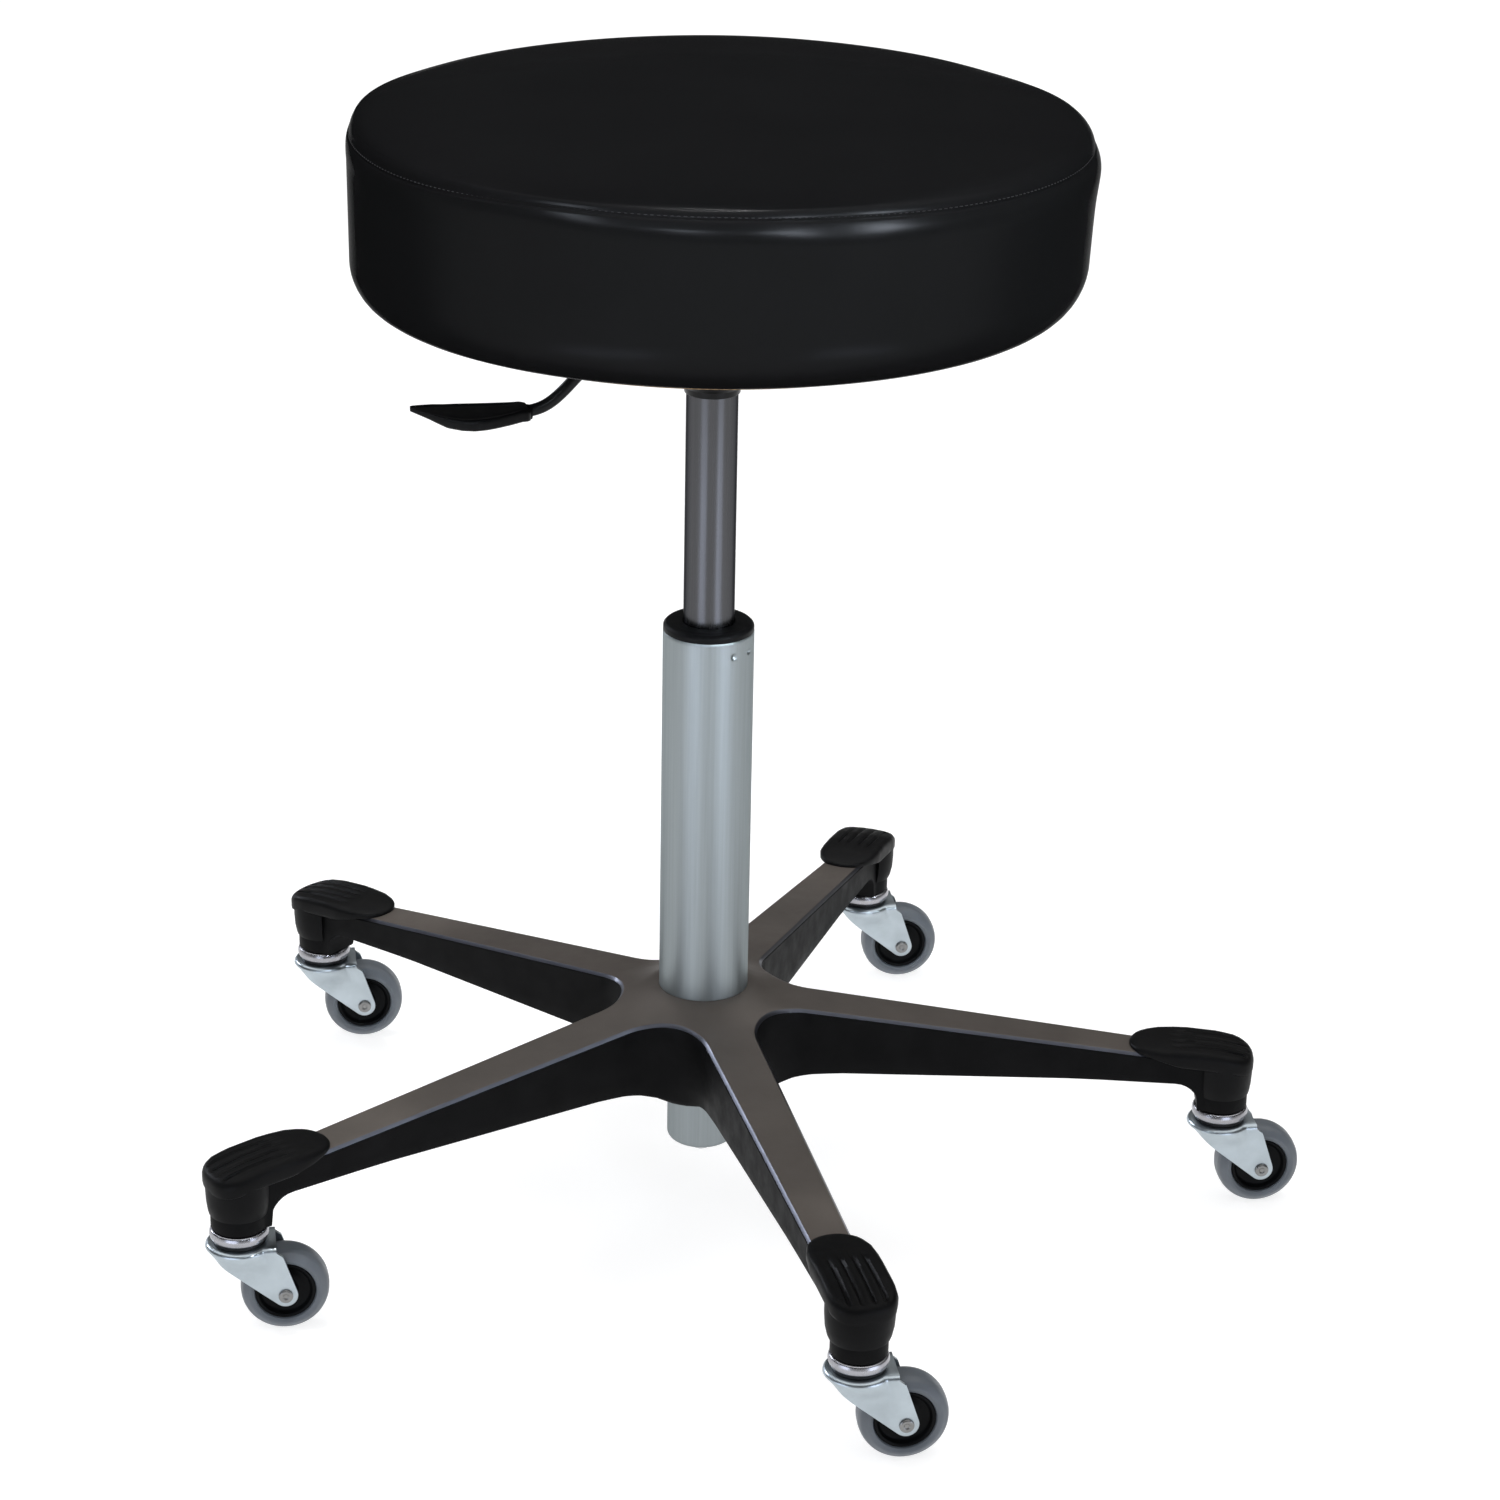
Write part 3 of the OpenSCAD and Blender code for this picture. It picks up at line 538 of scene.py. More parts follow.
def toe_cap(i):
    b = Builder()
    edge = 3.4
    ys = np.array([-15.1, -14.4, -12.6, -11, -9.6, -8.7, -7.8, -6.4, -5, -4.1, -3.2, -1.8, -0.9, 0])
    ys = np.concatenate([ys, -ys[-2::-1]]) / 15.1
    phis = [math.copysign(math.asin(min(1, abs(v) ** 1.2)), v) for v in ys]
    xs = np.concatenate([[0, 0.02, 0.06], np.linspace(0.12, 0.9, 36), [0.94, 0.97, 0.985, 1]])

    def height(x, y):
        r = np.hypot(x, y)
        rise = np.interp(x, [243, 249, 262, 276, 292, 304, 314], [1.3, 3.0, 5.6, 7.2, 7.6, 6.8, 4.6])
        return arm_top(r) + rise + 0.9 * (1 - (y / CAP_HALF) ** 2)

    x, y = cap_rows(edge, phis, xs)
    z = height(x, y)
    along = smooth((x - 264) / 12) * (1 - smooth((x - 306) / 6))
    cut = np.zeros_like(y)
    for c in (-9.6, -3.2, 3.2, 9.6):
        cut = np.maximum(cut, np.clip(1 - np.abs(y - c) / 1.5, 0, 1))
    z = z - 1.4 * smooth(cut * 1.4) * along
    a = FIRST_ARM + (i - 1) * ARM_STEP
    b.patch(turn(np.dstack([x, y, z]), a))

    def loop(d, drop):
        px, py = cap_rows(d, phis, [0, 1])
        sx, sy = cap_rows(d, [phis[0], phis[-1]], xs)
        ring = [(px[0, k], py[0, k]) for k in range(len(phis))]
        ring += [(sx[k, 1], sy[k, 1]) for k in range(1, len(xs) - 1)]
        ring += [(px[1, k], py[1, k]) for k in range(len(phis) - 1, -1, -1)]
        ring += [(sx[k, 0], sy[k, 0]) for k in range(len(xs) - 2, 0, -1)]
        ring = np.array(ring)
        z0 = height(ring[:, 0], ring[:, 1])
        share = 0.35 + 0.65 * smooth((ring[:, 0] - 246) / 30)
        return np.column_stack([ring, z0 - drop * share])

    first = loop(edge, 0)
    inside = {(round(float(u), 4), round(float(v), 4)): float(w) for u, v, w in
              zip(x.ravel(), y.ravel(), z.ravel())}
    first[:, 2] = [inside.get((round(u, 4), round(v, 4)), w) for u, v, w in first]
    rings = [first]
    for q in (20, 42, 64, 90):
        s, c = math.sin(math.radians(q)), math.cos(math.radians(q))
        rings.append(loop(edge * (1 - s), edge * (1 - c)))
    rings += [loop(0.05, 7.6), loop(0.3, 9.0), loop(0.9, 9.6), loop(1.6, 9.7)]
    b.patch(turn(np.array(rings), a), wrap=True)
    ux, uy = cap_rows(1.6, phis, xs)
    uz = height(ux, uy) - 9.7 * (0.35 + 0.65 * smooth((ux - 246) / 30))
    slot = (np.abs(uy) < 12.2) & (ux < 300)
    uz = np.where(slot, arm_top(np.hypot(ux, uy)) + 0.2, uz)
    b.patch(turn(np.dstack([ux, uy, uz]), a))
    # Apron round the arm's end
    span = np.linspace(-133, 133, 49)
    wide = np.array([CAP_NOSE, CAP_HALF]) / 17.0
    prof = [(15.1, 91), (16.9, 91), (16.9, 84), (16.6, 77), (16.0, 72), (15.6, 70.3), (15.1, 70), (15.1, 91)]
    sweep = []
    for r, z in prof:
        w = float(np.clip((r - 15.1) / 1.7, 0, 1))
        kx, ky = (1 - w) + w * wide
        sweep.append([(STEM_R + r * kx * direction(t)[0], r * ky * direction(t)[1], z) for t in span])
    sweep = np.array(sweep)
    b.patch(turn(sweep, a))
    for k in (0, -1):
        b.face(turn(sweep[:-1, k], a))
    return b.object(f"toe_cap_shell_{i}", [MAT["black_plastic"]], angle=40)


for n in range(1, ARMS + 1):
    use(toe_cap(n), "base", "black_plastic", f"toe_cap_{n}")


# ---- Casters ----
def stem_place(i):
    """Maps points from a caster's own frame, with +X the way it trails, into place."""
    at = STEM_R * direction(FIRST_ARM + (i - 1) * ARM_STEP)

    def put(points):
        p = turn(points, TRAIL_ANGLE)
        p[..., 0] += at[0]
        p[..., 1] += at[1]
        return p

    return put


def axle_place(i):
    """The same for shapes turned about the axle: their own Z becomes the axle's direction."""
    put = stem_place(i)

    def lay(points):
        p = np.array(points, float)
        q = np.stack([p[..., 0] + TRAIL, -p[..., 2], p[..., 1] + WHEEL_R], axis=-1)
        return put(q)

    return lay


RACE_NECK = 14.2


def race(i):
    b = Builder()
    prof = rounded([(0, 60.9, 0), (15.2, 60.9, 1.5), (16.0, 58, 3), (15.4, 55.3, 1.3),
                    (RACE_NECK, 55.2, 0)], 7)
    # The neck under the race is black steel. Its narrow shank through the crown's hole is the real pin, while
    # its wide dark wall is painted shade that stands for the shadowed gap between the race and the fork's
    # crown.
    neck = [(RACE_NECK, 53.0), (RACE_NECK - 0.4, 52.6), (5.0, 52.6), (5.0, 46)]
    head = rounded([(5.0, 49.1, 0), (7.5, 49.1, 0), (7.5, 47, 1), (5.5, 45.8, 1), (0, 45.6, 0)], 4)
    b.turned(prof, 72, at=stem_place(i))
    b.turned([prof[-1]] + neck, 72, mat=1, at=stem_place(i))
    b.turned([(5.0, 46)] + head, 48, at=stem_place(i))
    return b.object(f"race_ring_{i}", [MAT["race_chrome"], MAT["black_steel"]], angle=50)


FORK_CROWN, FORK_SIDE, FORK_TOP, FORK_REAR, SHEET, BEND = 18.3, 13.3, 52.5, 19.2, 2.0, 2.6
FORK_EAR = 2.6


def fork_edge():
    """Lower edge of a fork's side plate, seen from the side, from its front tip round the axle eye."""
    eye, eye_r = np.array([TRAIL, WHEEL_R]), 6.6

    def tangent(p, s):
        d = eye - p
        w = math.atan2(d[1], d[0]) + s * (math.pi / 2 + math.asin(eye_r / np.linalg.norm(d)))
        return math.degrees(w)

    front, rear = np.array([-4.5, 38.2]), np.array([FORK_REAR + FORK_EAR, 48.5])
    a0, a1 = tangent(front, -1), tangent(rear, 1)
    line = rounded([(-18.3, 49.4, 0), (-15.2, 49.3, 2), (-12.6, 45.6, 3), (*front, 6),
                    (*(eye + eye_r * direction(a0)), 0)], 5)
    round_eye = np.linspace(a0, a1 + (360 if a1 < a0 else 0), 22)[1:]
    line += [tuple(eye + eye_r * direction(t)) for t in round_eye]
    return np.array(line)


def fork(i):
    """A pressed sheet: a round crown whose skirt runs down into the two side plates."""
    edge = fork_edge()
    length = np.concatenate([[0], np.cumsum(np.linalg.norm(np.diff(edge, axis=0), axis=1))])
    theta = np.radians(np.linspace(0, 180 - math.degrees(math.asin(FORK_SIDE / FORK_CROWN)), 34))
    plan = [(-FORK_CROWN * math.cos(t), FORK_CROWN * math.sin(t), -math.cos(t), math.sin(t)) for t in theta]
    for x in np.linspace(plan[-1][0], FORK_REAR, 12)[1:]:
        plan.append((x, FORK_SIDE, 0.0, 1.0))
    plan = np.array(plan)
    out, nor = plan[:, :2], plan[:, 2:]
    for _ in range(2):
        nor[1:-1] = (nor[:-2] + 2 * nor[1:-1] + nor[2:]) / 4
    nor /= np.linalg.norm(nor, axis=1)[:, None]
    n = len(plan)
    f = np.linspace(0, 1, n)
    share = np.interp(f, [0, 0.12, 0.30, 0.55, 1], [0, 0.085, 0.24, 0.62, 1]) * length[-1]
    low = np.column_stack([np.interp(share, length, edge[:, 0]), np.interp(share, length, edge[:, 1])])
    skirt_z = FORK_TOP - BEND

    def plate(k, t):
        """Point and outward direction on the plate, t of the way down its column k."""
        x = out[k, 0] + t * (low[k, 0] - out[k, 0])
        x += FORK_EAR * smooth((k / n - 0.62) / 0.38) * smooth(t / 0.12) * (1 - t)
        z = skirt_z + t * (low[k, 1] - skirt_z)
        g = float(1 - smooth((z - 38) / (skirt_z - 38)))
        if k < 4:
            g = 0.0
        d = nor[k] * (1 - g) + np.array([0, 1.0]) * g
        y = out[k, 1] + g * (FORK_SIDE - out[k, 1])
        return np.array([x, y, z]), np.array([*(d / np.linalg.norm(d)), 0])

    centre = out - nor * BEND
    fall = [t**1.1 for t in np.linspace(0, 1, 16)]
    outer, inner = [], []
    for k in range(n):
        span = max(np.linalg.norm(low[k] - [out[k, 0], skirt_z]), 0.5)
        col_o, col_i = [], []
        for q in (90, 68, 45, 22):
            s, c = math.sin(math.radians(q)), math.cos(math.radians(q))
            col_o.append([*(centre[k] + nor[k] * BEND * c), skirt_z + BEND * s])
            col_i.append([*(centre[k] + nor[k] * (BEND - SHEET) * c), skirt_z + (BEND - SHEET) * s])
        for t in fall:
            p, d = plate(k, t * (1 - 0.35 / span))
            col_o.append(p)
            col_i.append(p - d * SHEET)
        p, d = plate(k, 1)
        col_o.append(p - d * 0.3)
        col_i.append(p - d * (SHEET - 0.3))
        outer.append(col_o)
        inner.append(col_i)
    outer, inner = np.array(outer), np.array(inner)
    b = Builder()
    put = stem_place(i)
    rear_y = np.linspace(centre[-1, 1], 0, 6)
    for s in (1, -1):
        half = np.array([1, s, 1])
        b.patch(put(outer * half))
        b.patch(put(inner * half))
        b.patch(put(np.array([outer[:, -1], inner[:, -1]]) * half))
        b.patch(put(np.array([outer[-1], inner[-1]]) * half))
        ring = np.concatenate([centre, [[FORK_REAR, y] for y in rear_y[1:]]])
        hole = np.array([5.15 * p / np.linalg.norm(p) for p in ring])
        for z in (FORK_TOP, FORK_TOP - SHEET):
            rows = [ring + t * (hole - ring) for t in (0, 0.3, 0.65, 1)]
            rows = [np.column_stack([row, np.full(len(ring), z)]) for row in rows]
            b.patch(put(np.array(rows) * half))
        both = [np.column_stack([hole, np.full(len(hole), z)]) for z in (FORK_TOP, FORK_TOP - SHEET)]
        b.patch(put(np.array(both) * half))
        back = [[(FORK_REAR, y, z) for y in rear_y] for z in (FORK_TOP, FORK_TOP - SHEET)]
        b.patch(put(np.array(back) * half))
    return b.object(f"fork_shell_{i}", [MAT["zinc"]], angle=50)


def axle(i):
    b = Builder()
    for s in (-1, 1):
        prof = rounded([(3.0, 10, 0), (3.0, 13.35, 0), (3.9, 13.35, 0.1), (3.9, 14.2, 0.5), (3.1, 14.8, 0.5),
                        (1.8, 14.6, 0.4), (1.2, 14.1, 0.3), (0, 14.05, 0)], 4)
        b.turned([(r, s * z) for r, z in prof], 40, at=axle_place(i))
    b.turned([(3.0, -10), (3.0, 10)], 40, at=axle_place(i))
    return b.object(f"axle_rivet_{i}", [MAT["rivet_steel"]], angle=40)


def wheel(i):
    core_r = WHEEL_R * 0.69
    half = WHEEL_W / 2
    b = Builder()
    side = [(core_r - 0.3, half - 2.6, 0), (core_r + 0.4, half - 1.2, 0.6), (core_r + 2.2, half - 0.35, 1.2),
            (19.6, half - 0.5, 3.0), (22.7, half - 3.0, 3.6), (23.55, half - 6.2, 4.5), (WHEEL_R, 0, 0)]
    p = rounded(side, 6)
    prof = p + [(r, -z) for r, z in p[-2::-1]]
    b.turned(prof, 96, at=axle_place(i))
    b.turned([(core_r - 0.3, half - 2.6), (core_r - 0.3, -half + 2.6)], 96, at=axle_place(i))
    t = b.object(f"tread_{i}", [MAT["tread_rubber"]], angle=40)
    c = Builder()
    face = rounded([(3.05, half + 0.8, 0), (5.4, half + 0.8, 0.5), (6.2, half - 0.4, 0.5),
                    (6.6, half - 4.4, 1.2), (9, half - 5.2, 2), (13.2, half - 4.4, 1.6),
                    (14.4, half - 2.2, 0.8), (15.4, half - 1.6, 0.5),
                    (core_r - 0.35, half - 1.9, 0.3), (core_r - 0.35, 0, 0)], 5)
    prof = face + [(r, -z) for r, z in face[-2::-1]]
    c.turned(prof, 96, at=axle_place(i))
    c.turned([(3.05, half + 0.8), (3.05, -half - 0.8)], 96, at=axle_place(i))
    k = c.object(f"core_{i}", [MAT["core_nylon"]], angle=40)
    return t, k


for n in range(1, ARMS + 1):
    use(race(n), "base", "race_chrome", f"caster_stem_{n}")
    use(fork(n), f"fork_{n}", "zinc", f"caster_fork_{n}")
    use(axle(n), f"fork_{n}", "rivet_steel", f"caster_axle_{n}")
    tread_piece, core_piece = wheel(n)
    use(tread_piece, f"wheel_{n}", "tread_rubber", f"wheel_tread_{n}")
    use(core_piece, f"wheel_{n}", "core_nylon", f"wheel_core_{n}")


# ---- Gas lift ----
def stand():
    """The stand tube, its mesh finer round the two small dimples below its upper end."""
    angles = np.concatenate([np.linspace(-75, -10, 220, endpoint=False),
                             np.linspace(-10, 285, 150, endpoint=False)])
    prof = rounded([(0, 31, 0), (19.5, 31, 4), (19.5, 70, 1), (24, 74.5, 1), (24.95, 128, 0),
                    (25, 129, 0)], 6)
    prof += [(25, z) for z in (160, 200, 240, 280, 310, 322)]
    prof += [(25, z) for z in np.arange(329.6, 337.4, 0.3)]
    prof += [(25, 340), (25, 341.6), (24.7, 342), (23.2, 342)]
    prof += [(23, 341.5), (23, 262), (22, 120)]
    a = np.radians(angles)
    g = np.array([[(r * math.cos(t), r * math.sin(t), z) for t in a] for r, z in prof])
    for spot in (-56, -28):
        c = np.array([*(25 * direction(spot)), 333.5])
        d = np.linalg.norm(g - c, axis=2)
        pull = 1.15 * smooth(1 - d / 2.5)
        g[..., :2] *= (1 - pull / 25)[..., None]
    b = Builder()
    b.patch(g, wrap=True)
    b.turned([(22, 120), (22, 74), (17.5, 70), (17.5, 33.5), (0, 33.5)], 64)
    return b.object("stand_tube_shell", [MAT["stand_metal"]], angle=40)


def bushing():
    b = Builder()
    b.turned(rounded([(14.1, 262, 0), (22.8, 262, 1), (22.8, 342.05, 0), (24.9, 342.05, 0.3),
                      (24.9, 345.0, 1.8), (23.2, 346.5, 1.2), (20.2, 346.9, 2), (14.6, 347.0, 0.3),
                      (14.1, 346.6, 0.1), (14.1, 262, 0)], 6), 128)
    return b.object("guide_bushing", [MAT["black_plastic"]], angle=40)


def gas():
    b = Builder()
    b.turned(rounded([(12.5, 505, 0), (13.3, 505, 0.3), (14, 477, 0), (14, 340, 0), (14, 183, 0.6),
                      (12.5, 181.8, 0), (12.5, 505, 0)], 4), 160)
    return b.object("pressure_tube", [MAT["dark_chrome"]], angle=40)


def socket():
    b = Builder()
    b.turned(rounded([(14.12, 477, 0), (15.0, 477, 0.5), (15.4, 480.4, 0.6), (16.4, 481.4, 0.8),
                      (17.5, 483, 0.8), (17.5, 505, 0.6), (13.5, 505, 0), (14.05, 478, 0),
                      (14.12, 477, 0)], 4), 96)
    return b.object("taper_socket_shell", [MAT["black_paint"]], angle=40)


use(stand(), "base", "stand_metal", "stand_tube")
use(bushing(), "base", "black_plastic", "tube_bushing")
use(gas(), "column", "dark_chrome", "gas_tube")
use(socket(), "column", "black_paint", "taper_socket")


# ---- Lever ----
def swept(path, r, name, mat, steps=24):
    """A round rod along a smooth path through the given points."""
    p = np.array(path, float)
    s = np.concatenate([[0], np.cumsum(np.linalg.norm(np.diff(p, axis=0), axis=1))])
    dist = np.linspace(0, s[-1], 70)
    q = np.column_stack([np.interp(dist, s, p[:, k]) for k in range(3)])
    for _ in range(10):
        q[1:-1] = q[1:-1] * 0.5 + (q[:-2] + q[2:]) * 0.25
    tan = np.gradient(q, axis=0)
    tan /= np.linalg.norm(tan, axis=1)[:, None]
    side = np.cross(tan, [0, 1.0, 0])
    side /= np.linalg.norm(side, axis=1)[:, None]
    other = np.cross(tan, side)
    a = np.linspace(0, 2 * math.pi, steps, endpoint=False)[None, :, None]
    g = q[:, None, :] + r * (side[:, None, :] * np.cos(a) + other[:, None, :] * np.sin(a))
    b = Builder()
    b.patch(turn(g, LEVER_ANGLE), wrap=True)
    for k in (0, -1):
        cap = q[k] + tan[k] * (0.6 if k else -0.6)
        ring = q[k] + (g[k] - q[k]) * 0.8 + tan[k] * (0.5 if k else -0.5)
        b.patch(turn(np.array([g[k], ring]), LEVER_ANGLE), wrap=True)
        b.fan(turn(ring, LEVER_ANGLE), turn(np.array([cap]), LEVER_ANGLE)[0])
    return b.object(name, [mat], angle=50)


def rod():
    lz = 513.75
    path = [(-7, 0, lz), (40, 0, lz), (48, 0, lz - 1.5), (56, 0, lz - 8), (70, 0, lz - 23), (82, 0, lz - 36),
            (90, 0, lz - 42.3), (100, 0, lz - 44.5), (120, 0, lz - 44.5)]
    return swept(path, 3.25, "lever_rod_shell", MAT["black_paint"])


def paddle():
    root, tip, z0 = 98.0, 161.0, 469.25
    s = np.concatenate([[0, 0.004, 0.012], np.linspace(0.03, 0.96, 40), [0.975, 0.99, 1]])
    rows = []
    for u in s:
        x = root + u * (tip - root)
        far = np.interp(u, [0, 0.015, 0.05, 0.6, 0.8, 0.92, 0.98, 1],
                        [-5.2, -6.6, -7.4, -7.4, -6.4, -4.2, -2.7, -1.4])
        near = np.interp(u, [0, 0.02, 0.08, 0.17, 0.3, 0.4, 0.5, 0.6, 0.7, 0.8, 0.9, 0.96, 1],
                         [7.0, 9.4, 11.5, 15.0, 20.5, 23.8, 25.3, 24.6, 20.8, 15.0, 8.2, 4.2, 1.4])
        rim = np.interp(u, [0, 0.03, 0.08, 0.5, 1], [471.6, 473.6, 474.4, 474.8, 475.0])
        deep = np.interp(u, [0, 0.03, 0.08, 0.17, 0.3, 0.5, 0.72, 0.85, 1],
                         [5.6, 7.6, 8.2, 8.6, 8.6, 8.6, 7.8, 5.2, 2.8])
        c, w = (far + near) / 2, (near - far) / 2
        line = []
        for t in np.linspace(0, 360, 56, endpoint=False):
            ct, st = math.cos(math.radians(t)), math.sin(math.radians(t))
            y = c + w * math.copysign(abs(ct) ** 0.6, ct)
            z = rim - deep / 2 + deep / 2 * math.copysign(abs(st) ** 0.5, st)
            if st > 0:
                z -= min(1.5, 0.3 * deep) * float(smooth((1 - abs(y - c) / w) * 2.6)) * float(smooth(u / 0.2))
            line.append((x, y, z))
        rows.append(line)
    rows = np.array(rows)
    b = Builder()
    b.patch(turn(rows, LEVER_ANGLE), wrap=True)
    for k, x in ((0, root), (-1, tip)):
        centre = rows[k].mean(axis=0)
        b.fan(turn(rows[k], LEVER_ANGLE), turn(centre[None], LEVER_ANGLE)[0])
    prof = rounded([(3.3, -1.5, 0), (3.8, -1.5, 0.3), (4.3, 1.5, 1), (4.3, 7, 1), (2.4, 14, 0)], 4)
    around = np.linspace(0, 2 * math.pi, 32, endpoint=False)
    ring = np.array([[(root + v, r * math.cos(t), z0 + r * math.sin(t)) for t in around] for r, v in prof])
    b.patch(turn(ring, LEVER_ANGLE), wrap=True)
    return b.object("lever_paddle_shell", [MAT["black_plastic"]], angle=55)


use(rod(), "lever", "black_paint", "lever_rod")
use(paddle(), "lever", "black_plastic", "lever_paddle")

# ---- Seat ----
OFFSET = 3.6


def right_side(a):
    """1 at the seat's right, where the cover sits slacker and its shoulder is rounder, fading to 0."""
    return max(0.0, math.cos(math.radians(a))) ** 1.5


def seat_column(a, seam=True):
    """One upright section of the upholstery at angle a, as (r, z) from the hem to near the top's middle."""
    w = right_side(a)
    side = math.cos(math.radians(a))
    sag = 4.2 * float(smooth((-side - 0.35) / 0.6)) + 5.5 * w
    r_side = 193.7
    front = max(0.0, math.cos(math.radians(a + 88))) ** 3
    r_low = 20 + 6 * w + 8.5 * front
    low = [(r_side - 1.8 * w - r_low + r_low * math.sin(t),
            SEAT_LOW + 0.5 * front + r_low - r_low * math.cos(t)) for t in np.linspace(0, math.pi / 2, 14)]
    hem = [(164, 532.6), (160, 532.9), (160, 532.3), (164, 531.2), (168, 531.0)]
    z_seam = 621.6 - sag
    z_band = z_seam - 12.5
    lean = 2.9 - 2.6 * float(smooth((-side - 0.1) / 0.75)) - 0.8 * w
    z0 = low[-1][1]
    wall = [(r_side + 0.5 * f - 1.8 * w * (1 - f), z0 + f * (z_band - z0)) for f in np.linspace(0, 1, 16)[1:]]
    band = [(r_side + 0.5 + 0.25 * math.sin(math.pi * f) - lean * f**1.7,
             z_band + f * (z_seam - 0.6 - z_band)) for f in np.linspace(0, 1, 15)[1:]]
    # The slack of the right side bulges out below the seam
    wall, band = ([(r + 1.2 * w * math.exp(-(((z - 606) / 13) ** 2)), z) for r, z in part]
                  for part in (wall, band))
    r_s = band[-1][0] - 0.12
    dip = 0.38 if seam else 0.0
    line = [(r_s - dip * 0.8, z_seam - 0.3), (r_s - dip, z_seam), (r_s - dip * 0.7, z_seam + 0.3),
            (r_s - 0.12, z_seam + 0.6)]
    behind = math.sin(math.radians(2 * a)) ** 2 * (1.4 - 0.2 * side) if 0 < a % 360 < 180 else 0.0
    top_r, top_h = 3.6 + 7.2 * w, 625.2 - 0.7 * behind - 0.8 * max(0.0, -side) ** 3 - z_seam
    r1 = r_s - 0.12 - top_r
    edge = [(r1 + top_r * math.cos(t), z_seam + 0.6 + top_h * math.sin(t))
            for t in np.radians(np.linspace(8, 82, 11))]
    r2, z2 = edge[-1]
    peak = SHOULDER + CROWN
    dome = [(r2 * (1 - f), z2 + (peak - z2) * (1 - (1 - f) ** 2.6)) for f in np.linspace(0, 1, 30)[1:-1]]
    return hem + low[1:] + wall + band + line + edge + dome


SEAT_N = 288
SEAT_ANGLES = np.linspace(0, 360, SEAT_N, endpoint=False)
SEAM_ROW = 5 + 13 + 15 + 14 + 1


def seat_grid(angles, seam=True):
    """The upholstery's points, row by row from the hem up, and the direction of each column."""
    cols = np.array([seat_column(a, seam) for a in angles])
    d = np.array([direction(a) for a in angles])
    g = np.zeros((cols.shape[1], len(angles), 3))
    g[..., 0] = (cols[..., 0] * d[:, 0:1]).T + OFFSET
    g[..., 1] = (cols[..., 0] * d[:, 1:2]).T
    g[..., 2] = cols[..., 1].T
    return g, d


def cloth_relax(angles, rows):
    """Runs a coarse copy of the cover as pressurised cloth; returns its movement along its own normals."""
    g = seat_grid(angles, False)[0][rows]
    b = Builder()
    b.patch(g, wrap=True)
    b.fan(g[-1], (OFFSET, 0, SHOULDER + CROWN))
    b.fan(g[0], (OFFSET, 0, SEAT_LOW + 1.0))
    o = b.object("cloth_pass", [MAT["black_vinyl"]])
    start = np.array([v.co[:] for v in o.data.vertices]) / MM
    pins = o.vertex_groups.new(name="pins")
    pins.add([k for k, v in enumerate(start) if v[2] < SEAT_LOW + 6], 1.0, "REPLACE")
    cloth = o.modifiers.new("cloth", "CLOTH")
    c = cloth.settings
    c.quality, c.mass = 8, 0.4
    c.tension_stiffness = c.compression_stiffness = 60
    c.bending_stiffness, c.shear_stiffness = 4, 20
    c.use_pressure, c.uniform_pressure_force = True, 4.0
    c.vertex_group_mass = "pins"
    c.effector_weights.gravity = 0.0
    cloth.point_cache.frame_start, cloth.point_cache.frame_end = 1, 20
    scene = bpy.context.scene
    for f in range(1, 21):
        scene.frame_set(f)
    shape = o.evaluated_get(bpy.context.evaluated_depsgraph_get()).data
    end = np.array([v.co[:] for v in shape.vertices]) / MM
    normals = np.array([v.normal[:] for v in o.data.vertices])
    scene.frame_set(1)
    bpy.data.objects.remove(o)
    moved = ((end - start) * normals).sum(axis=1)
    print("cloth pass moved", round(float(moved.min()), 2), "to", round(float(moved.max()), 2), "mm")

    def nearest(p):
        return int(np.argmin(((start - p) ** 2).sum(axis=1)))

    return np.array([[moved[nearest(p)] for p in row] for row in g])


def seat():
    g, d = seat_grid(SEAT_ANGLES)
    turns = np.linspace(0, 2 * math.pi, SEAT_N, endpoint=False)
    rows = np.array(list(range(5, SEAM_ROW, 3)) + [SEAM_ROW] + list(range(SEAM_ROW + 3, len(g), 3)))
    puff = np.zeros((len(g), SEAT_N))
    few = np.linspace(0, 360, 96, endpoint=False)
    moved = cloth_relax(few, rows)
    wide = np.array([np.interp(np.degrees(turns), np.append(few, 360), np.append(m, m[0]))
                     for m in moved])
    for j in range(SEAT_N):
        puff[:, j] = np.interp(np.arange(len(g)), rows, wide[:, j])
    puff -= puff[SEAM_ROW]
    puff = np.clip(puff * 0.5, -0.6, 0.6)
    for _ in range(60):
        puff = (np.roll(puff, 1, axis=1) + 2 * puff + np.roll(puff, -1, axis=1)) / 4
    heights = (0.35, 0.3, 0.22, 0.16, 0.1, 0.07)
    waves = sum(h * np.cos(k * turns + q)
                for k, h, q in zip((3, 5, 7, 11, 17, 23), heights, RNG.uniform(0, 6.28, 6)))
    below = smooth((SEAM_ROW - 6 - np.arange(len(g))) / 10)
    low = smooth((g[:, 0, 2] - SEAT_LOW - 5) / 25)
    shift = puff + 0.7 * (below * low)[:, None] * waves[None, :]
    down = np.gradient(g, axis=0)
    slope = np.hypot(down[..., 0], down[..., 1]) * -np.sign((down[..., :2] * d[None]).sum(axis=2))
    across = np.stack([down[..., 2], slope], axis=-1)
    across /= np.linalg.norm(across, axis=2, keepdims=True) + 1e-9
    keep = smooth((np.arange(len(g)) - 6) / 6)[:, None]
    g[..., :2] += (keep * shift * across[..., 0])[..., None] * d[None]
    g[..., 2] += keep * shift * np.abs(across[..., 1]) * np.sign(g[..., 2] - 575)
    b = Builder()
    b.patch(g, wrap=True)
    b.fan(g[-1], (OFFSET, 0, float(g[-1, :, 2].mean()) + 0.02))
    b.fan(g[0], (OFFSET, 0, 532.6))
    return b.object("seat_upholstery", [MAT["black_vinyl"]], angle=70)


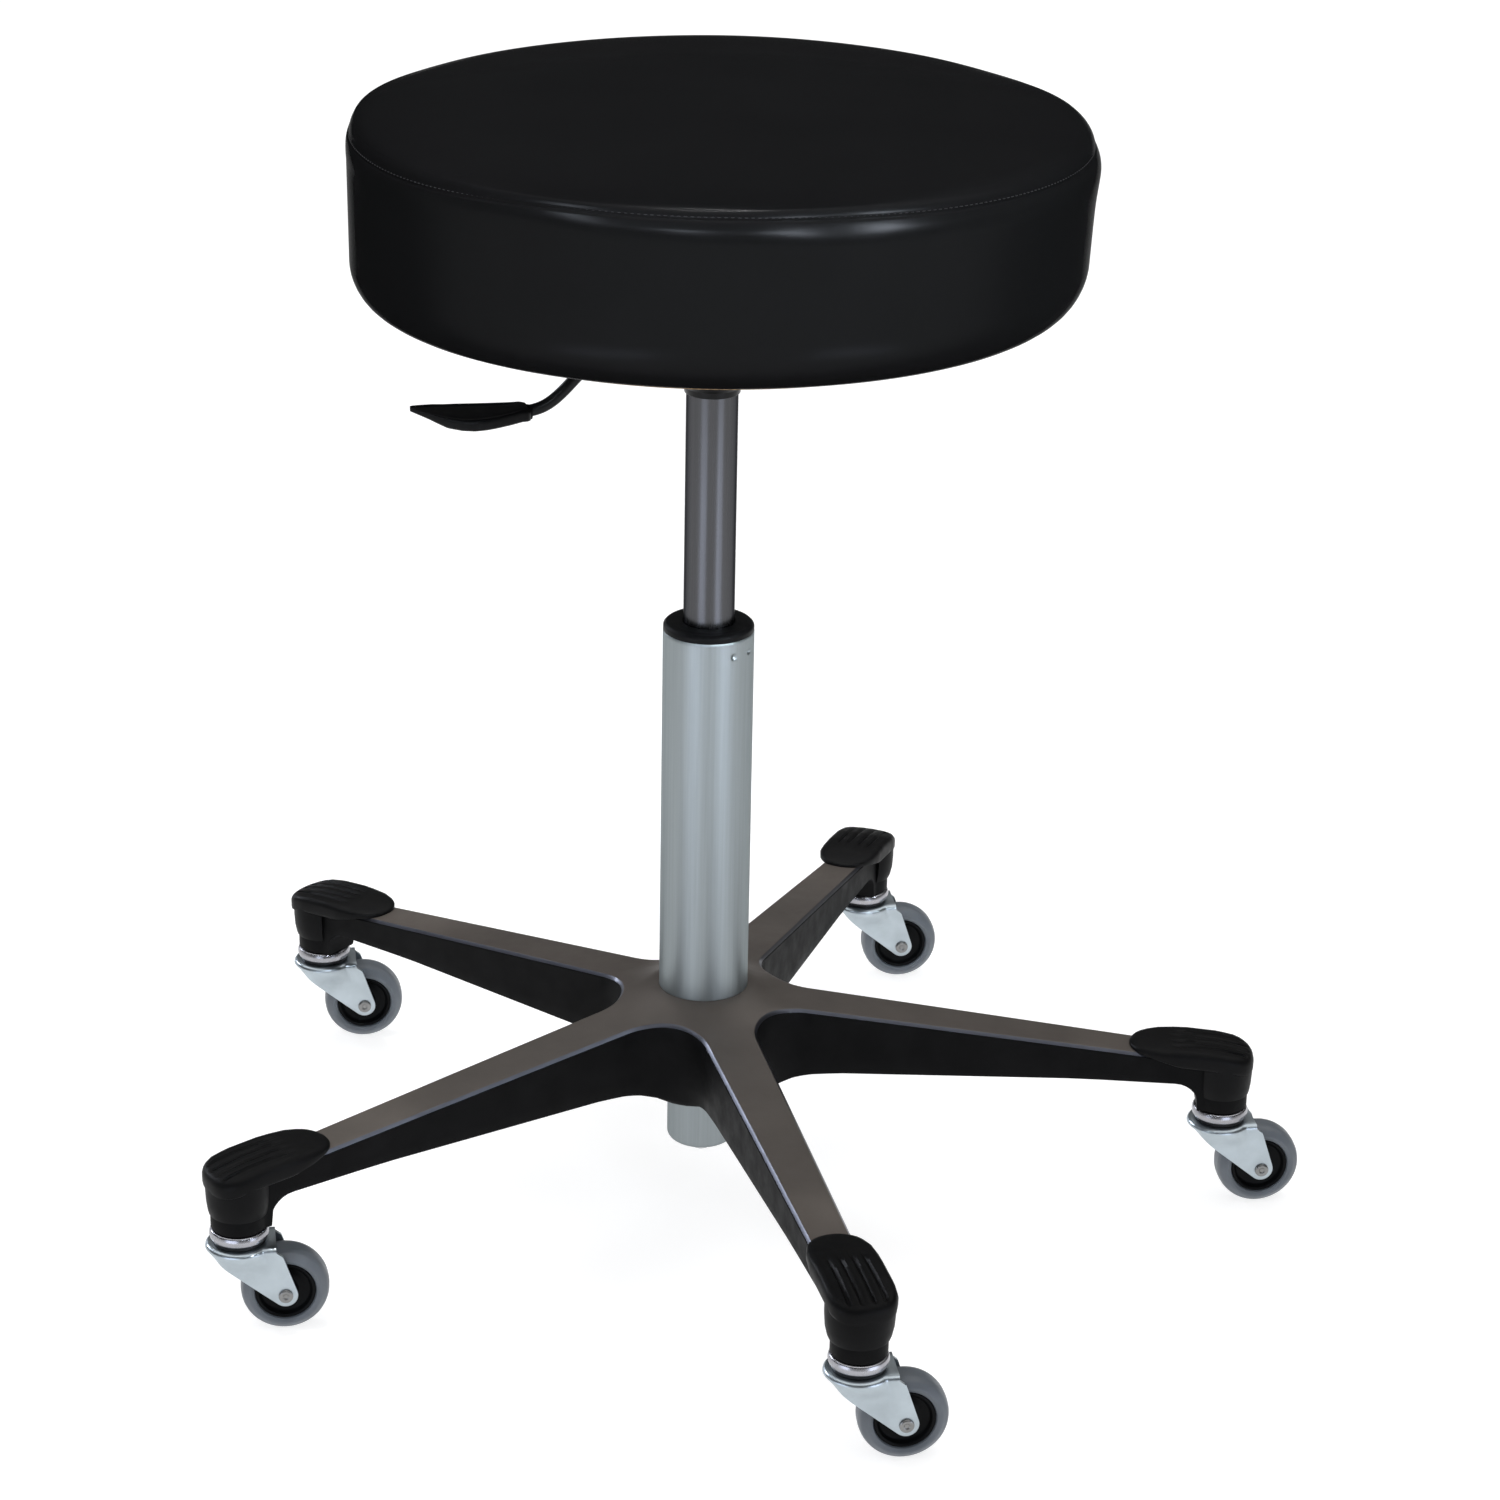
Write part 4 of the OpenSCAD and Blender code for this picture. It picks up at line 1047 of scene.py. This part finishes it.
STAPLES, STAPLE_R, STAPLE_HALF, STAPLE_LEG, STAPLE_WIRE, STAPLE_Z = 28, 165, 4.05, 5.4, 0.45, 531.15


def staples():
    """The hem's wire staples, their shoulders bent and their crowns pressed a little into the cloth."""
    b = Builder()
    path = np.array(rounded([(-STAPLE_HALF, STAPLE_LEG, 0), (-STAPLE_HALF, 0, 0.7),
                             (STAPLE_HALF, 0, 0.7), (STAPLE_HALF, STAPLE_LEG, 0)], 4))[:, :2]
    tan = np.gradient(path, axis=0)
    tan /= np.linalg.norm(tan, axis=1)[:, None]
    a = np.linspace(0, 2 * math.pi, 8, endpoint=False)
    out = STAPLE_R + STAPLE_WIRE * np.cos(a)
    lift = STAPLE_WIRE * np.sin(a)
    wire = np.array([np.column_stack([out, y - tz * lift, STAPLE_Z + z + ty * lift])
                     for (y, z), (ty, tz) in zip(path, tan)])
    for k in range(STAPLES):
        one = turn(wire, k * 360 / STAPLES) + np.array([OFFSET, 0, 0])
        b.patch(one, wrap=True)
        b.fan(one[0], one[0].mean(axis=0))
        b.fan(one[-1], one[-1].mean(axis=0))
    return b.object("hem_staples", [MAT["zinc"]], angle=50)


STITCH = 3.2


def stitches():
    g = seat_grid(SEAT_ANGLES)[0]
    seam = g[SEAM_ROW]
    loop = np.vstack([seam, seam[:1]])
    s = np.concatenate([[0], np.cumsum(np.linalg.norm(np.diff(loop, axis=0), axis=1))])
    up_all = g[SEAM_ROW + 2] - g[SEAM_ROW - 2]
    up_all = np.vstack([up_all, up_all[:1]])
    count = int(s[-1] / STITCH)
    b = Builder()
    for k in range(count):
        t = s[-1] * (k + 0.5) / count
        base = np.array([np.interp(t, s, loop[:, j]) for j in range(3)])
        up = np.array([np.interp(t, s, up_all[:, j]) for j in range(3)])
        up /= np.linalg.norm(up)
        nxt = np.array([np.interp(min(t + 0.5, s[-1]), s, loop[:, j]) for j in range(3)])
        along = (nxt - base) / np.linalg.norm(nxt - base)
        out = np.cross(along, up)
        base = base + up * 1.25 + out * 0.16
        rows = []
        for u in (-1, -0.75, -0.3, 0.3, 0.75, 1):
            w = math.sqrt(max(1 - u * u * 0.96, 0))
            rows.append([base + along * u + out * (0.24 * w * math.cos(q)) + up * (0.26 * w * math.sin(q))
                         for q in np.linspace(0, 2 * math.pi, 6, endpoint=False)])
        b.patch(np.array(rows), wrap=True)
        for e in (0, -1):
            b.face(rows[e])
    return b.object("seat_stitching", [MAT["thread"]], angle=80, merge=0.001)


cushion = use(seat(), "column", "black_vinyl", "seat_cover", "seat_foam")
use(stitches(), "column", "black_vinyl")
use(staples(), "column", "zinc", "staples")

# ---- Camera, from the photograph's angle ----
CAMERA_BACK, CAMERA_UP = 2.0069, 1.1098
pitch, yaw, roll = math.radians(22.69), math.radians(0.68), math.radians(1.147)
ahead = Vector((math.sin(yaw) * math.cos(pitch), math.cos(yaw) * math.cos(pitch), -math.sin(pitch)))
right = Vector((math.cos(yaw), -math.sin(yaw), 0))
down = ahead.cross(right)
cam_x = math.cos(roll) * right - math.sin(roll) * down
cam_y = -(math.sin(roll) * right + math.cos(roll) * down)
camera = bpy.data.objects.new("camera", bpy.data.cameras.new("camera"))
bpy.context.scene.collection.objects.link(camera)
camera_turn = Matrix((cam_x, cam_y, -ahead)).transposed().to_4x4()
camera.matrix_world = Matrix.Translation((0, -CAMERA_BACK, CAMERA_UP)) @ camera_turn
camera.data.lens = 94.62
camera.data.sensor_width = 36
camera.data.clip_end = 50
bpy.context.scene.camera = camera

# ---- Floor and light ----
floor_mesh = bpy.data.meshes.new("floor")
floor_mesh.from_pydata([(-9, -9, 0), (9, -9, 0), (9, 9, 0), (-9, 9, 0)], [], [(0, 1, 2, 3)])
floor_look = Nodes("floor", (0.42, 0.42, 0.42), 0.9, Emission_Color=(1, 1, 1, 1), Emission_Strength=0.78)
floor_look.tint(floor_look.noise(1.5, 2), 0.99, 1.01)
floor_mesh.materials.append(floor_look.m)
floor = bpy.data.objects.new("floor", floor_mesh)
bpy.context.scene.collection.objects.link(floor)


def lamp(name, at, size, power, colour=(1, 1, 1), aim=(0, 0, 0.4), spread=180):
    light = bpy.data.lights.new(name, "AREA")
    light.shape, light.size, light.size_y = "RECTANGLE", *size
    light.energy, light.color, light.spread = power, colour, math.radians(spread)
    o = bpy.data.objects.new(name, light)
    o.location = at
    o.rotation_euler = (Vector(aim) - Vector(at)).to_track_quat("-Z", "Y").to_euler()
    o.visible_camera = False
    bpy.context.scene.collection.objects.link(o)


def sun(name, aim_from, spread, power, colour=(1, 1, 1)):
    light = bpy.data.lights.new(name, "SUN")
    light.angle, light.energy, light.color = math.radians(spread), power, colour
    o = bpy.data.objects.new(name, light)
    o.rotation_euler = Vector(aim_from).to_track_quat("Z", "Y").to_euler()
    bpy.context.scene.collection.objects.link(o)


sun("overhead", (0.05, 0.1, 1), 90, 2.15)
lamp("window", (-1.75, 1.18, 0.98), (0.9, 0.6), 0.6, (0.86, 0.9, 1.0), aim=(0.05, -0.15, 0.11), spread=22)
lamp("window_high", (-1.64, -0.06, 1.59), (0.5, 0.7), 0.05, (0.86, 0.9, 1.0), aim=(0, -0.07, 0.12), spread=16)
for bearing, glow in ((-46, 0.45), (-12, 0.55), (22, 0.95), (52, 1.35)):
    place = (*(direction(bearing - 90) * 2.3), 1.75)
    lamp(f"front_{bearing}", place, (0.75, 0.7), glow, (0.82, 0.9, 1.0), aim=(0, 0, 0.63), spread=14)
lamp("over_seat", (0, 0, 1.7), (0.38, 0.38), 0.36, aim=(0, 0, 0.6), spread=8)
lamp("strip_left", (-0.42, -0.66, 0.115), (0.40, 0.22), 0.72, (0.76, 0.83, 1.0), aim=(0, 0, 0.4))
lamp("strip_right", (0.50, -0.60, 0.115), (0.34, 0.22), 0.68, (0.76, 0.83, 1.0), aim=(0, 0, 0.4))

world = bpy.data.worlds.new("world")
world.use_nodes = True
world.node_tree.nodes["Background"].inputs["Color"].default_value = (1.0, 0.97, 0.94, 1)
world.node_tree.nodes["Background"].inputs["Strength"].default_value = 0.07
bpy.context.scene.world = world
bpy.context.scene.view_settings.view_transform = "Standard"
